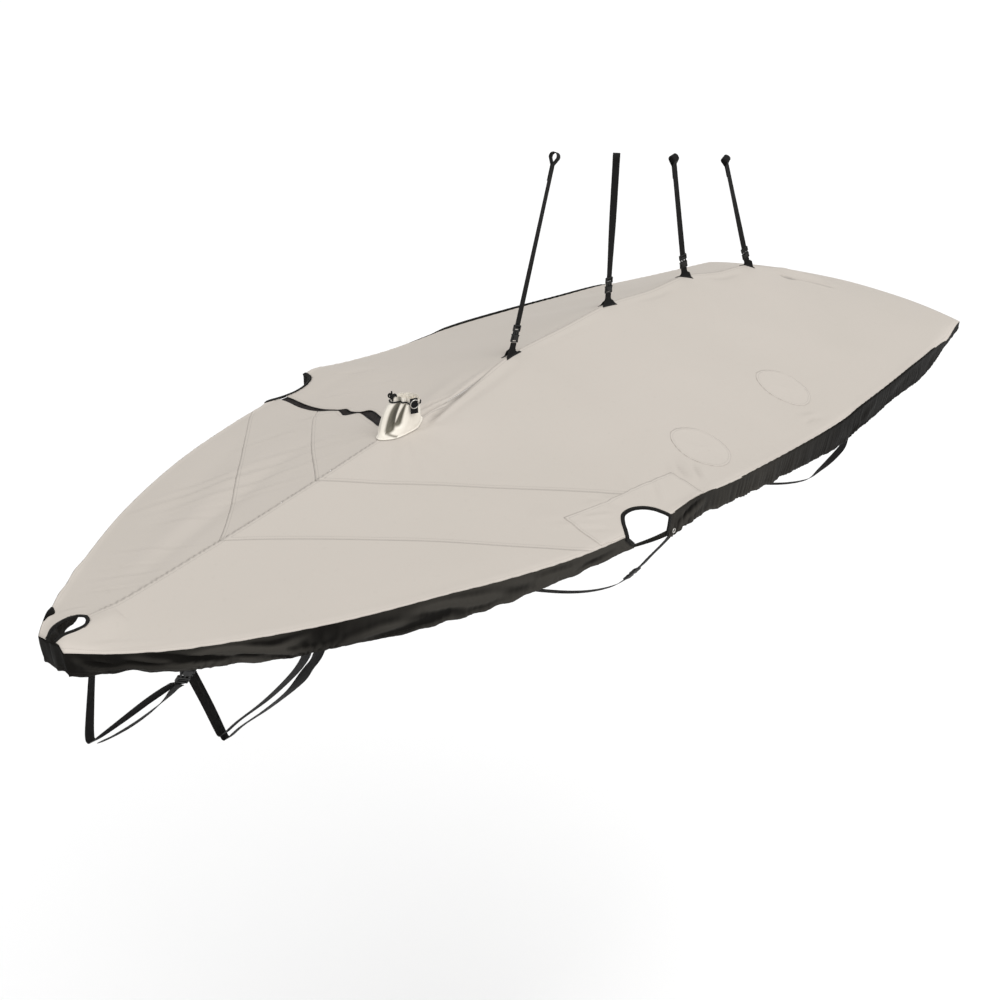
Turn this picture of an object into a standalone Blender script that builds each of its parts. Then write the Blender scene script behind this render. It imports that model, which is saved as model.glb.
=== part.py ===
"""Mast-up cover for a two-person sailing dinghy, fitted over the deck and held up by four lifting straps.

Frame: +X towards the bow, +Y to port, +Z up. The origin is on the centreline, half way along the
boat, at the level of the gunwale's ends, where the deck of the boat would carry the cover.
Places along the boat are given as "aft": metres from the tip of the bow.
"""
import math
from collections import namedtuple

import bmesh
import bpy
from mathutils import Vector
from mathutils.bvhtree import BVHTree

# ---- driving dimensions, metres -------------------------------------------------------------
LENGTH = 4.20            # bow to transom
CLOTH = 0.0020           # coated top cloth
SKIRT_CLOTH = 0.0016     # thinner black skirt
WEBBING_WIDTH = 0.025
WEBBING = 0.0016
GAP = 0.0003             # between pieces that touch
SEAM_GAP = 0.00025       # half the gap at a seam between two panels
SAG = 0.035              # how far the cloth hangs below a straight line from ridge to gunwale
ARCH_POWER = 2.2         # roundness of the section over the transom
ARCH_START = 3.35        # aft of here the tent section turns into that arch
BINDING_WIDTH = 0.008
BINDING = 0.0040
SLOT_HALF_WIDTH = 0.034  # forestay slot in the nose
SLOT_END = 0.101
COLLAR_AFT = 1.192       # centre of the mast collar's foot
COLLAR_HALF_LENGTH = 0.088
COLLAR_HALF_WIDTH = 0.046
COLLAR_TOP_AFT = 1.228
COLLAR_TOP_RADIUS = 0.038
COLLAR_TOP_Z = 0.296
PATCH = 0.0010           # pieces sewn on top of the panels
PATCH_GAP = 0.0012       # their clearance over the panels' facets
PATCH_SETBACK = 0.0015   # from the edge of the opening's binding to the patch
PATCH_COLUMNS = 4
SKIRT_GAP = 0.0011       # from the top cloth's under face to the skirt's upper edge
HEM_STRIP = 0.016        # elastic hem that runs on across a shroud opening
EYE_ABOVE = 0.026        # from the end of a lifting strap's straight run to its sewn eye
EYE_RADIUS = 0.014
EYE_LAP = 0.050
STRAP_STEPS = 3          # points of an under-hull strap for each row of its table
TAIL_STEPS = 11          # points of the foremost strap that its free tail lies along
BUCKLE_AT = {"1": 3, "3": 9}    # step of the strap's path where its buckle starts
BUCKLE_LENGTH = 0.058
BUCKLE_WIDTH = 0.034
BUCKLE_DEPTH = 0.011

Station = namedtuple("Station", "aft half edge ridge")
STATIONS = (
    Station(0.00, 0.052, 0.030, 0.036),
    Station(0.02, 0.065, 0.025, 0.058),
    Station(0.05, 0.088, 0.019, 0.061),
    Station(0.10, 0.131, 0.014, 0.059),
    Station(0.22, 0.230, 0.014, 0.066),
    Station(0.50, 0.420, 0.032, 0.107),
    Station(0.80, 0.566, 0.046, 0.152),
    Station(1.10, 0.675, 0.050, 0.203),
    Station(1.30, 0.725, 0.056, 0.222),
    Station(1.55, 0.770, 0.070, 0.268),
    Station(1.73, 0.788, 0.080, 0.312),
    Station(2.00, 0.801, 0.064, 0.334),
    Station(2.28, 0.802, 0.044, 0.361),
    Station(2.54, 0.797, 0.034, 0.348),
    Station(2.80, 0.789, 0.029, 0.354),
    Station(3.06, 0.775, 0.026, 0.318),
    Station(3.32, 0.757, 0.020, 0.298),
    Station(3.70, 0.721, 0.010, 0.200),
    Station(4.20, 0.653, 0.000, 0.067),
)

# The starboard edge lies higher than the port one at the bow and behind the shroud.
EdgeHeight = namedtuple("EdgeHeight", "aft height")
STARBOARD_EDGE = (
    EdgeHeight(0.00, 0.032), EdgeHeight(0.02, 0.048), EdgeHeight(0.06, 0.053), EdgeHeight(0.22, 0.046),
    EdgeHeight(0.50, 0.046), EdgeHeight(0.80, 0.052), EdgeHeight(1.15, 0.051), EdgeHeight(1.34, 0.058),
    EdgeHeight(1.48, 0.082), EdgeHeight(1.57, 0.096), EdgeHeight(1.65, 0.085), EdgeHeight(1.78, 0.069),
    EdgeHeight(2.00, 0.053), EdgeHeight(2.40, 0.054), EdgeHeight(2.70, 0.046), EdgeHeight(3.05, 0.036),
    EdgeHeight(3.35, 0.030), EdgeHeight(3.75, 0.013), EdgeHeight(4.20, 0.005),
)

# A long soft trough (depth below zero) or ridge in the top cloth, from one place to another.
Fold = namedtuple("Fold", "aft_a y_a aft_b y_b width depth")
FOLDS = (
    Fold(-0.10, 0.036, 0.17, 0.036, 0.030, 0.015),
    Fold(0.25, -0.05, 1.10, -0.26, 0.035, -0.007),
    Fold(0.30, -0.10, 1.05, -0.38, 0.040, 0.005),
    Fold(0.45, -0.24, 1.10, -0.56, 0.045, -0.005),
    Fold(1.27, 0.03, 1.72, 0.035, 0.022, -0.008),
    Fold(1.28, -0.06, 1.62, -0.10, 0.030, 0.006),
    Fold(1.56, 0.70, 1.80, 0.60, 0.035, -0.007),
    Fold(1.60, 0.76, 1.92, 0.70, 0.035, 0.006),
    Fold(1.30, 0.62, 1.20, 0.50, 0.040, 0.004),
    Fold(1.34, -0.60, 1.75, -0.55, 0.040, -0.006),
    Fold(1.50, -0.70, 1.85, -0.66, 0.035, 0.006),
    Fold(2.55, 0.72, 2.80, 0.70, 0.035, 0.005),
    Fold(3.55, 0.03, 3.86, 0.14, 0.028, -0.010),
    Fold(3.58, -0.03, 3.92, 0.08, 0.035, 0.008),
)

# Port and starboard chevron seams run from the ridge out and aft to the gunwale.
SeamPoint = namedtuple("SeamPoint", "v aft")
FORE_SEAM = (SeamPoint(0.0, 0.504), SeamPoint(0.37, 0.715), SeamPoint(0.69, 0.945),
             SeamPoint(0.94, 1.160), SeamPoint(1.0, 1.222))
AFT_SEAM = {
    1: (SeamPoint(0.0, 0.850), SeamPoint(0.27, 1.018), SeamPoint(0.60, 1.307),
        SeamPoint(0.80, 1.480), SeamPoint(1.0, 1.640)),
    -1: (SeamPoint(0.0, 0.850), SeamPoint(0.28, 1.003), SeamPoint(0.48, 1.145),
         SeamPoint(0.58, 1.228), SeamPoint(0.62, 1.278), SeamPoint(0.68, 1.360), SeamPoint(1.0, 1.600)),
}
SEAM_MEETS_SLIT = 0.62   # share of the half-breadth at which the starboard seam runs into the slit

# The two edges of the slit that lets the cover past the mast, from the collar out to starboard.
SlitPoint = namedtuple("SlitPoint", "v fore aft")
SLIT = (SlitPoint(0.0, 1.180, 1.196), SlitPoint(0.12, 1.196, 1.240), SlitPoint(0.21, 1.233, 1.273),
        SlitPoint(0.29, 1.264, 1.307), SlitPoint(0.34, 1.284, 1.318), SlitPoint(0.375, 1.291, 1.302),
        SlitPoint(0.43, 1.266, 1.301), SlitPoint(0.48, 1.286, 1.315), SlitPoint(0.53, 1.298, 1.307),
        SlitPoint(0.62, 1.281, 1.303), SlitPoint(0.75, 1.292, 1.320), SlitPoint(0.90, 1.327, 1.354),
        SlitPoint(1.0, 1.347, 1.372))
TAPE_OVERLAP = 0.016     # hook tape reaching under each edge of the slit
TAPE = 0.0015

# Outline of a shroud opening: distance in from the gunwale, at each place along the boat.
OpeningPoint = namedtuple("OpeningPoint", "aft inboard")
SHROUD_OPENING = {
    1: (OpeningPoint(1.340, 0.0), OpeningPoint(1.358, 0.022), OpeningPoint(1.382, 0.052),
        OpeningPoint(1.412, 0.078), OpeningPoint(1.450, 0.084), OpeningPoint(1.484, 0.072),
        OpeningPoint(1.508, 0.048), OpeningPoint(1.517, 0.022), OpeningPoint(1.518, 0.0)),
    -1: (OpeningPoint(1.296, 0.0), OpeningPoint(1.328, 0.020), OpeningPoint(1.362, 0.038),
         OpeningPoint(1.396, 0.060), OpeningPoint(1.436, 0.070), OpeningPoint(1.476, 0.062),
         OpeningPoint(1.504, 0.042), OpeningPoint(1.516, 0.020), OpeningPoint(1.518, 0.0)),
}
SHROUD_PATCH = (OpeningPoint(1.254, 0.008), OpeningPoint(1.256, 0.076), OpeningPoint(1.267, 0.152),
                OpeningPoint(1.346, 0.150), OpeningPoint(1.426, 0.144), OpeningPoint(1.560, 0.144),
                OpeningPoint(1.690, 0.130), OpeningPoint(1.694, 0.074), OpeningPoint(1.688, 0.008))

SkirtDepth = namedtuple("SkirtDepth", "aft depth tuck")
SKIRT = (
    SkirtDepth(0.00, 0.080, 0.008),
    SkirtDepth(0.05, 0.067, 0.012),
    SkirtDepth(0.12, 0.060, 0.014),
    SkirtDepth(0.22, 0.057, 0.014),
    SkirtDepth(0.35, 0.067, 0.012),
    SkirtDepth(0.50, 0.076, 0.010),
    SkirtDepth(0.95, 0.077, 0.008),
    SkirtDepth(1.34, 0.065, 0.006),
    SkirtDepth(1.53, 0.070, 0.003),
    SkirtDepth(1.61, 0.059, 0.002),
    SkirtDepth(1.72, 0.066, 0.004),
    SkirtDepth(2.10, 0.074, 0.010),
    SkirtDepth(2.60, 0.094, 0.014),
    SkirtDepth(3.20, 0.092, 0.016),
    SkirtDepth(3.60, 0.076, 0.016),
    SkirtDepth(3.90, 0.040, 0.010),
    SkirtDepth(4.04, 0.016, 0.004),
    SkirtDepth(4.12, 0.016, 0.002),
    SkirtDepth(4.20, 0.028, 0.000),
)
EYELET_BEHIND = 0.022    # from the fore end of the aft skirt to its eyelet
EYELET_ABOVE_HEM = 0.013
EYELET_RADIUS = 0.0075
EYELET_WIRE = 0.0018
EYELET_PROUD = 0.0034
EYELET_CUT = 0.04        # length of the punch through the cloth
TUCK_AT_EYELET = 0.8     # share of the skirt's tuck at the eyelet's height
GATHER = 0.0055          # how far the gathers of the skirt stand in and out at the hem
HEM_STEP = 0.0035        # how far the elastic hem rises and falls

# A strap's turn about its own line, from lying fore-and-aft, at its foot and at its top.
LiftStrap = namedtuple("LiftStrap", "number aft top_aft top_z foot_turn top_turn")
LIFT_STRAPS = (
    LiftStrap(1, 1.727, 1.896, 0.895, -0.04, 0.12),
    LiftStrap(2, 2.277, 2.258, 0.848, -0.15, -1.01),
    LiftStrap(3, 2.806, 2.643, 0.798, -0.35, -0.18),
    LiftStrap(4, 3.327, 3.039, 0.747, -0.35, -0.04),
)

# Straps that pass under the boat: places on the port half, from the hem down to the keel.
HullPoint = namedtuple("HullPoint", "aft y z")
HULL_STRAPS = {
    "1": (HullPoint(0.240, 0.214, -0.028), HullPoint(0.236, 0.206, -0.060), HullPoint(0.222, 0.180, -0.100),
          HullPoint(0.198, 0.148, -0.132), HullPoint(0.163, 0.113, -0.170), HullPoint(0.115, 0.062, -0.230),
          HullPoint(0.074, 0.016, -0.282), HullPoint(0.068, 0.0, -0.294)),
    "2_fore": (HullPoint(0.458, 0.377, -0.030), HullPoint(0.464, 0.368, -0.068), HullPoint(0.468, 0.312, -0.152),
               HullPoint(0.468, 0.202, -0.285), HullPoint(0.466, 0.080, -0.415), HullPoint(0.464, 0.016, -0.490),
               HullPoint(0.464, 0.0, -0.502)),
    "2_aft": (HullPoint(0.496, 0.398, -0.030), HullPoint(0.498, 0.378, -0.072), HullPoint(0.501, 0.338, -0.136),
              HullPoint(0.499, 0.268, -0.236), HullPoint(0.492, 0.170, -0.346), HullPoint(0.484, 0.070, -0.448),
              HullPoint(0.479, 0.016, -0.512), HullPoint(0.478, 0.0, -0.524)),
    "3": (HullPoint(1.554, 0.762, 0.030), HullPoint(1.548, 0.754, -0.016), HullPoint(1.534, 0.706, -0.095),
          HullPoint(1.524, 0.674, -0.145), HullPoint(1.512, 0.600, -0.232), HullPoint(1.503, 0.450, -0.312),
          HullPoint(1.500, 0.220, -0.382), HullPoint(1.500, 0.0, -0.410)),
    "4": (HullPoint(2.774, 0.770, -0.030), HullPoint(2.778, 0.764, -0.098), HullPoint(2.780, 0.744, -0.152),
          HullPoint(2.779, 0.688, -0.242), HullPoint(2.774, 0.630, -0.308), HullPoint(2.765, 0.480, -0.368),
          HullPoint(2.760, 0.240, -0.412), HullPoint(2.760, 0.0, -0.428)),
}

RoundPatch = namedtuple("RoundPatch", "name aft y half_length half_width turn")
ROUND_PATCHES = (
    RoundPatch("round_patch_fore", 1.910, 0.632, 0.098, 0.100, 0.3),
    RoundPatch("round_patch_aft", 2.585, 0.577, 0.105, 0.098, 0.3),
)


# ---- materials ------------------------------------------------------------------------------
def material(name, colour, roughness, metallic=0.0):
    made = bpy.data.materials.new(name)
    made.use_nodes = True
    shader = made.node_tree.nodes["Principled BSDF"]
    shader.inputs["Base Color"].default_value = (*colour, 1.0)
    shader.inputs["Roughness"].default_value = roughness
    shader.inputs["Metallic"].default_value = metallic
    return made


# ---- numbers along the boat -----------------------------------------------------------------
def smooth_value(rows, place, key, value):
    """Cubic value between the rows of a table, with the slopes of a Catmull-Rom curve."""
    places = [getattr(row, key) for row in rows]
    values = [getattr(row, value) for row in rows]
    last = len(rows) - 1
    if place <= places[0]:
        return values[0]
    if place >= places[last]:
        return values[last]
    i = max(k for k in range(last) if places[k] <= place)
    span = places[i + 1] - places[i]

    def slope(k):
        low, high = max(k - 1, 0), min(k + 1, last)
        return (values[high] - values[low]) / (places[high] - places[low])

    t = (place - places[i]) / span
    blend_a = 2 * t ** 3 - 3 * t ** 2 + 1
    blend_b = t ** 3 - 2 * t ** 2 + t
    blend_c = 3 * t ** 2 - 2 * t ** 3
    blend_d = t ** 3 - t ** 2
    return (blend_a * values[i] + blend_b * span * slope(i)
            + blend_c * values[i + 1] + blend_d * span * slope(i + 1))


def half_breadth(aft):
    return smooth_value(STATIONS, aft, "aft", "half")


def smooth_step(value):
    value = min(max(value, 0.0), 1.0)
    return value * value * (3 - 2 * value)


def fold_height(aft, y):
    total = 0.0
    for fold in FOLDS:
        along = Vector((fold.aft_b - fold.aft_a, fold.y_b - fold.y_a))
        offset = Vector((aft - fold.aft_a, y - fold.y_a))
        t = min(max(offset.dot(along) / along.length_squared, 0.0), 1.0)
        across = (offset - along * t).length
        total += fold.depth * math.sin(math.pi * t) ** 0.5 * math.exp(-(across / fold.width) ** 2)
    return total


def cover_height(aft, y):
    """Height of the upper face of the top cloth."""
    inside = min(max(aft, 0.0), LENGTH)
    if y < 0:
        edge = smooth_value(STARBOARD_EDGE, inside, "aft", "height")
    else:
        edge = smooth_value(STATIONS, inside, "aft", "edge")
    ridge = smooth_value(STATIONS, inside, "aft", "ridge")
    v = abs(y) / half_breadth(inside)
    near = min(v, 1.0)
    tent = 1 - v - SAG * 4 * near * (1 - near)
    arch = 1 - v ** ARCH_POWER
    share = smooth_step((inside - ARCH_START) / (LENGTH - ARCH_START))
    rise = tent + (arch - tent) * share
    return edge + (ridge - edge) * rise + fold_height(inside, y) * smooth_step(2.5 * (1 - near))


def place(aft, y, z):
    return Vector((LENGTH / 2 - aft, y, z))


# ---- mesh helpers ---------------------------------------------------------------------------
def add_object(name, mesh, finish):
    mesh.name = name
    mesh.materials.append(finish)
    made = bpy.data.objects.new(name, mesh)
    parts.objects.link(made)
    return made


def from_bmesh(name, shape, finish):
    bmesh.ops.recalc_face_normals(shape, faces=shape.faces)
    mesh = bpy.data.meshes.new(name)
    shape.to_mesh(mesh)
    shape.free()
    return add_object(name, mesh, finish)


def slab(name, upper, lower, finish, closed=False):
    """A sheet between two grids of points, rows of equal length, with its four sides filled.

    closed joins the last row to the first, for a ring.
    """
    shape = bmesh.new()
    top = [[shape.verts.new(point) for point in row] for row in upper]
    bottom = [[shape.verts.new(point) for point in row] for row in lower]
    rows, columns = len(top), len(top[0])
    spans = rows if closed else rows - 1
    for i in range(spans):
        after = (i + 1) % rows
        for j in range(columns - 1):
            shape.faces.new((top[i][j], top[after][j], top[after][j + 1], top[i][j + 1]))
            shape.faces.new((bottom[i][j], bottom[i][j + 1], bottom[after][j + 1], bottom[after][j]))
        for j in (0, columns - 1):
            shape.faces.new((top[i][j], bottom[i][j], bottom[after][j], top[after][j]))
    if not closed:
        for i in (0, rows - 1):
            for j in range(columns - 1):
                shape.faces.new((top[i][j], top[i][j + 1], bottom[i][j + 1], bottom[i][j]))
    return from_bmesh(name, shape, finish)


def ribbon(name, centres, sides, finish, thickness=WEBBING):
    """Flat webbing along a path; sides holds the half-width vector at each point of the path."""
    upper, lower = [], []
    for i, (centre, side) in enumerate(zip(centres, sides)):
        before = centres[max(i - 1, 0)]
        after = centres[min(i + 1, len(centres) - 1)]
        out = (after - before).cross(side).normalized() * (thickness / 2)
        upper.append((centre - side + out, centre + side + out))
        lower.append((centre - side - out, centre + side - out))
    return slab(name, upper, lower, finish)


def smooth_path(points, steps):
    """Points on a Catmull-Rom curve through the given ones, steps to each span."""
    path = []
    for i in range(len(points) - 1):
        p0 = points[max(i - 1, 0)]
        p1, p2 = points[i], points[i + 1]
        p3 = points[min(i + 2, len(points) - 1)]
        for k in range(steps):
            t = k / steps
            path.append(0.5 * (2 * p1 + (p2 - p0) * t + (2 * p0 - 5 * p1 + 4 * p2 - p3) * t ** 2
                               + (3 * p1 - 3 * p2 + p3 - p0) * t ** 3))
    path.append(points[-1].copy())
    return path


def prism(name, outline, bottom, top):
    """An upright cutter with a flat outline of (aft, y) points."""
    shape = bmesh.new()
    low = [shape.verts.new(place(aft, y, bottom)) for aft, y in outline]
    high = [shape.verts.new(place(aft, y, top)) for aft, y in outline]
    shape.faces.new(low)
    shape.faces.new(high)
    for i in range(len(outline)):
        k = (i + 1) % len(outline)
        shape.faces.new((low[i], low[k], high[k], high[i]))
    bmesh.ops.recalc_face_normals(shape, faces=shape.faces)
    mesh = bpy.data.meshes.new(name)
    shape.to_mesh(mesh)
    shape.free()
    made = bpy.data.objects.new(name, mesh)
    made.hide_render = True
    made.display_type = "WIRE"
    cutters.objects.link(made)
    return made


def cut(target, cutter):
    difference = target.modifiers.new(cutter.name, "BOOLEAN")
    difference.operation = "DIFFERENCE"
    difference.solver = "EXACT"
    difference.object = cutter


# ---- top panels -----------------------------------------------------------------------------
# Where the panels' mesh lines run, as shares of the half-breadth; starboard they follow the slit.
MESH_LINES = {
    1: [i / 13 for i in range(14)],
    -1: [0.0, 0.06, 0.12, 0.21, 0.29, 0.34, 0.375, 0.43, 0.48, 0.53,
         SEAM_MEETS_SLIT, 0.70, 0.78, 0.86, 0.93, 1.0],
}
BOW_CROWDING = 1.6
MAIN_CROWDING = 1.25


def seam_line(rows, offset, value="aft"):
    return lambda v: smooth_value(rows, v, "v", value) + offset


def top_panel(name, side, fore_edge, aft_edge, long_steps, shares, finish, crowding=1.0):
    """One cut panel of the top, between two lines that cross it from the ridge to the gunwale.

    Its rows crowd towards the fore line where crowding is over 1.
    """
    upper = []
    for v in shares:
        row = []
        for i in range(long_steps + 1):
            aft = fore_edge(v) + (aft_edge(v) - fore_edge(v)) * (i / long_steps) ** crowding
            y = side * max(v * half_breadth(aft), SEAM_GAP)
            row.append(place(aft, y, cover_height(aft, y)))
        upper.append(row)
    lower = [[point - Vector((0, 0, CLOTH)) for point in row] for row in upper]
    return slab(name, upper, lower, finish)


def build_top(finish):
    panels = []
    slit_fore = seam_line(SLIT, 0.0, "fore")
    slit_aft = seam_line(SLIT, 0.0, "aft")
    for side, tag in ((1, "port"), (-1, "stbd")):
        aft_seam = seam_line(AFT_SEAM[side], -SEAM_GAP)
        if side == 1:
            fore_end = aft_seam
        else:
            def fore_end(v, seam=aft_seam):
                return min(seam(v), slit_fore(v) - SEAM_GAP)
        panels.append(top_panel(f"top_bow_{tag}", side, lambda v: 0.0, seam_line(FORE_SEAM, -SEAM_GAP),
                                11, MESH_LINES[side], finish, BOW_CROWDING))
        panels.append(top_panel(f"top_fore_{tag}", side, seam_line(FORE_SEAM, SEAM_GAP), fore_end,
                                5, MESH_LINES[side], finish))
    panels.append(top_panel("top_main_port", 1, seam_line(AFT_SEAM[1], SEAM_GAP), lambda v: LENGTH,
                            32, MESH_LINES[1], finish, MAIN_CROWDING))
    inner = [v for v in MESH_LINES[-1] if v <= SEAM_MEETS_SLIT]
    panels.append(top_panel("top_mid_stbd", -1, seam_line(AFT_SEAM[-1], SEAM_GAP), slit_fore,
                            4, inner, finish))
    panels.append(top_panel("top_main_stbd", -1, slit_aft, lambda v: LENGTH,
                            32, MESH_LINES[-1], finish, MAIN_CROWDING))
    return panels


class Cover:
    """The upper face of the panels as they are meshed, for the pieces sewn on top of them."""

    def __init__(self, panels):
        points, faces = [], []
        for panel in panels:
            start = len(points)
            points += [vertex.co.copy() for vertex in panel.data.vertices]
            faces += [[start + k for k in face.vertices] for face in panel.data.polygons]
        self.tree = BVHTree.FromPolygons(points, faces)

    def height(self, aft, y):
        hit = self.tree.ray_cast(place(aft, y, 1.0), Vector((0, 0, -1)))[0]
        return hit.z if hit and hit.z > -0.02 else cover_height(aft, y)

    def edge_height(self, aft, y):
        """Height at the outer edge, from two places just inside it."""
        near, far = 0.003, 0.006
        inside = self.height(aft, y * (1 - near / abs(y)))
        return inside + (inside - self.height(aft, y * (1 - far / abs(y))))


def build_slit_tape(finish):
    """Black hook tape that closes the slit from below, seen where its edges gape."""
    upper, lower = [], []
    steps = 22
    for i in range(steps + 1):
        v = 0.075 + (0.93 - 0.075) * i / steps
        fore = smooth_value(SLIT, v, "v", "fore") - TAPE_OVERLAP
        aft = smooth_value(SLIT, v, "v", "aft") + TAPE_OVERLAP
        row = []
        for k in range(4):
            at = fore + (aft - fore) * k / 3
            y = -v * half_breadth(at)
            row.append(place(at, y, cover_height(at, y) - CLOTH - 0.0035))
        upper.append(row)
        lower.append([point - Vector((0, 0, TAPE)) for point in row])
    return slab("slit_tape", upper, lower, finish)


# ---- openings, their bindings and patches -----------------------------------------------------
def opening_outline(rows, side, steps=3):
    """Plan of an outline around a shroud, as (aft, y) pairs."""
    path = smooth_path([Vector((row.aft, row.inboard, 0.0)) for row in rows], steps)
    return [(point.x, side * (half_breadth(point.x) - point.y)) for point in path]


def slot_outline(steps=10):
    """Plan of the forestay slot, from its starboard mouth round its aft end to port."""
    centre = SLOT_END - SLOT_HALF_WIDTH
    mouth = (0.0, 0.010, 0.022, centre * 0.6)
    line = [(aft, -SLOT_HALF_WIDTH) for aft in mouth]
    for i in range(steps + 1):
        angle = -math.pi / 2 + math.pi * i / steps
        line.append((centre + SLOT_HALF_WIDTH * math.cos(angle), SLOT_HALF_WIDTH * math.sin(angle)))
    line += [(aft, SLOT_HALF_WIDTH) for aft in reversed(mouth)]
    return line


def shifted(outline, distance):
    """The outline moved to its left by a distance, in plan."""
    moved = []
    for i, (aft, y) in enumerate(outline):
        a = Vector(outline[max(i - 1, 0)])
        b = Vector(outline[min(i + 1, len(outline) - 1)])
        along = (b - a).normalized()
        moved.append((aft - along.y * distance, y + along.x * distance))
    return moved


def edge_binding(name, outline, inward, cover, finish):
    """Binding folded over the edge of an opening, standing a little above and below the cloth."""
    inner = shifted(outline, inward * BINDING_WIDTH)
    proud = (BINDING - CLOTH) / 2
    upper, lower = [], []
    for (aft_a, y_a), (aft_b, y_b) in zip(outline, inner):
        height_a = cover.height(aft_a, y_a)
        height_b = cover.height(aft_b, y_b)
        upper.append((place(aft_a, y_a, height_a + proud), place(aft_b, y_b, height_b + proud)))
        lower.append((place(aft_a, y_a, height_a - CLOTH - proud),
                      place(aft_b, y_b, height_b - CLOTH - proud)))
    return slab(name, upper, lower, finish)


def build_shroud_patch(cover, cloth):
    """Second layer of cloth round the port opening, from its edge out to the patch's own outline."""
    inner = shifted(opening_outline(SHROUD_OPENING[1], 1), -PATCH_SETBACK)
    outer = opening_outline(SHROUD_PATCH, 1)
    upper, lower = [], []
    for (aft_a, y_a), (aft_b, y_b) in zip(inner, outer):
        row = []
        for k in range(PATCH_COLUMNS + 1):
            aft = aft_a + (aft_b - aft_a) * k / PATCH_COLUMNS
            y = y_a + (y_b - y_a) * k / PATCH_COLUMNS
            row.append(place(aft, y, cover.height(aft, y) + PATCH_GAP))
        upper.append([point + Vector((0, 0, PATCH)) for point in row])
        lower.append(row)
    slab("shroud_patch_port", upper, lower, cloth)


def build_openings(panels, cover, binding, cloth):
    by_name = {panel.name: panel for panel in panels}
    for side, tag in ((1, "port"), (-1, "stbd")):
        outline = opening_outline(SHROUD_OPENING[side], side)
        outside = shifted(outline, -side * GAP)
        closed = outside + [(outside[-1][0], side * 1.0), (outside[0][0], side * 1.0)]
        cutter = prism(f"cut_shroud_{tag}", closed, -0.10, 0.40)
        cut(by_name[f"top_fore_{tag}"], cutter)
        cut(by_name[f"top_main_{tag}"], cutter)
        edge_binding(f"shroud_binding_{tag}", outline, side, cover, binding)
    build_shroud_patch(cover, cloth)
    slot = slot_outline()
    outside = shifted(slot, -GAP)
    closed = [(-0.1, outside[0][1])] + outside + [(-0.1, outside[-1][1])]
    cutter = prism("cut_slot", closed, -0.10, 0.40)
    for tag in ("port", "stbd"):
        cut(by_name[f"top_bow_{tag}"], cutter)
    edge_binding("slot_binding", slot, 1, cover, binding)
    collar_hole = prism("cut_collar", ellipse(COLLAR_AFT, COLLAR_HALF_LENGTH - 0.009,
                                              COLLAR_HALF_WIDTH - 0.009, 24), -0.10, 0.60)
    for name in ("top_main_port", "top_mid_stbd", "top_main_stbd"):
        cut(by_name[name], collar_hole)


def ellipse(aft, half_length, half_width, steps):
    line = []
    for i in range(steps):
        angle = 2 * math.pi * i / steps
        line.append((aft + half_length * math.cos(angle), half_width * math.sin(angle)))
    return line


def round_patch(row, cover, finish):
    """Round wear patch sewn on the top: rings of points from a small middle one out to its edge."""
    around = 20
    upper, lower = [], []
    for i in range(around):
        angle = 2 * math.pi * i / around
        line = []
        for share in (0.0, 0.5, 1.0):
            reach = 0.02 + 0.98 * share
            u = row.half_length * reach * math.cos(angle)
            w = row.half_width * reach * math.sin(angle)
            aft = row.aft + u * math.cos(row.turn) - w * math.sin(row.turn)
            y = row.y + u * math.sin(row.turn) + w * math.cos(row.turn)
            line.append(place(aft, y, cover.height(aft, y) + PATCH_GAP))
        lower.append(line)
        upper.append([point + Vector((0, 0, PATCH)) for point in line])
    return disc(row.name, upper, lower, finish)


def disc(name, upper, lower, finish):
    """A round sheet from spokes of points, its inmost ring closed by one face."""
    shape = bmesh.new()
    top = [[shape.verts.new(point) for point in row] for row in upper]
    bottom = [[shape.verts.new(point) for point in row] for row in lower]
    count = len(top)
    for i in range(count):
        k = (i + 1) % count
        for j in range(len(top[0]) - 1):
            shape.faces.new((top[i][j], top[i][j + 1], top[k][j + 1], top[k][j]))
            shape.faces.new((bottom[i][j], bottom[k][j], bottom[k][j + 1], bottom[i][j + 1]))
        shape.faces.new((top[i][-1], bottom[i][-1], bottom[k][-1], top[k][-1]))
    shape.faces.new([row[0] for row in top])
    shape.faces.new([row[0] for row in bottom])
    return from_bmesh(name, shape, finish)


# ---- mast collar ----------------------------------------------------------------------------
# How far the collar's cloth stands in from a plain cone at each angle: its two front pleats.
Pleat = namedtuple("Pleat", "angle width depth")
PLEATS = (Pleat(166, 9, -0.014), Pleat(138, 9, -0.012), Pleat(205, 14, 0.005), Pleat(60, 16, 0.003))
COLLAR_WALL = 0.0024
COLLAR_NECK = 0.80       # share of its height at which the collar has closed in on the mast
CONE_EASE = 0.70         # below 1 the collar closes in early, and earlier still at the bow,
BOW_EASE = 0.36          # where its foot lies nearly flat as a pointed tip
KNOT_RADIUS = 0.0095
TAB_TURN = math.radians(20)      # from port towards the bow


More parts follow.
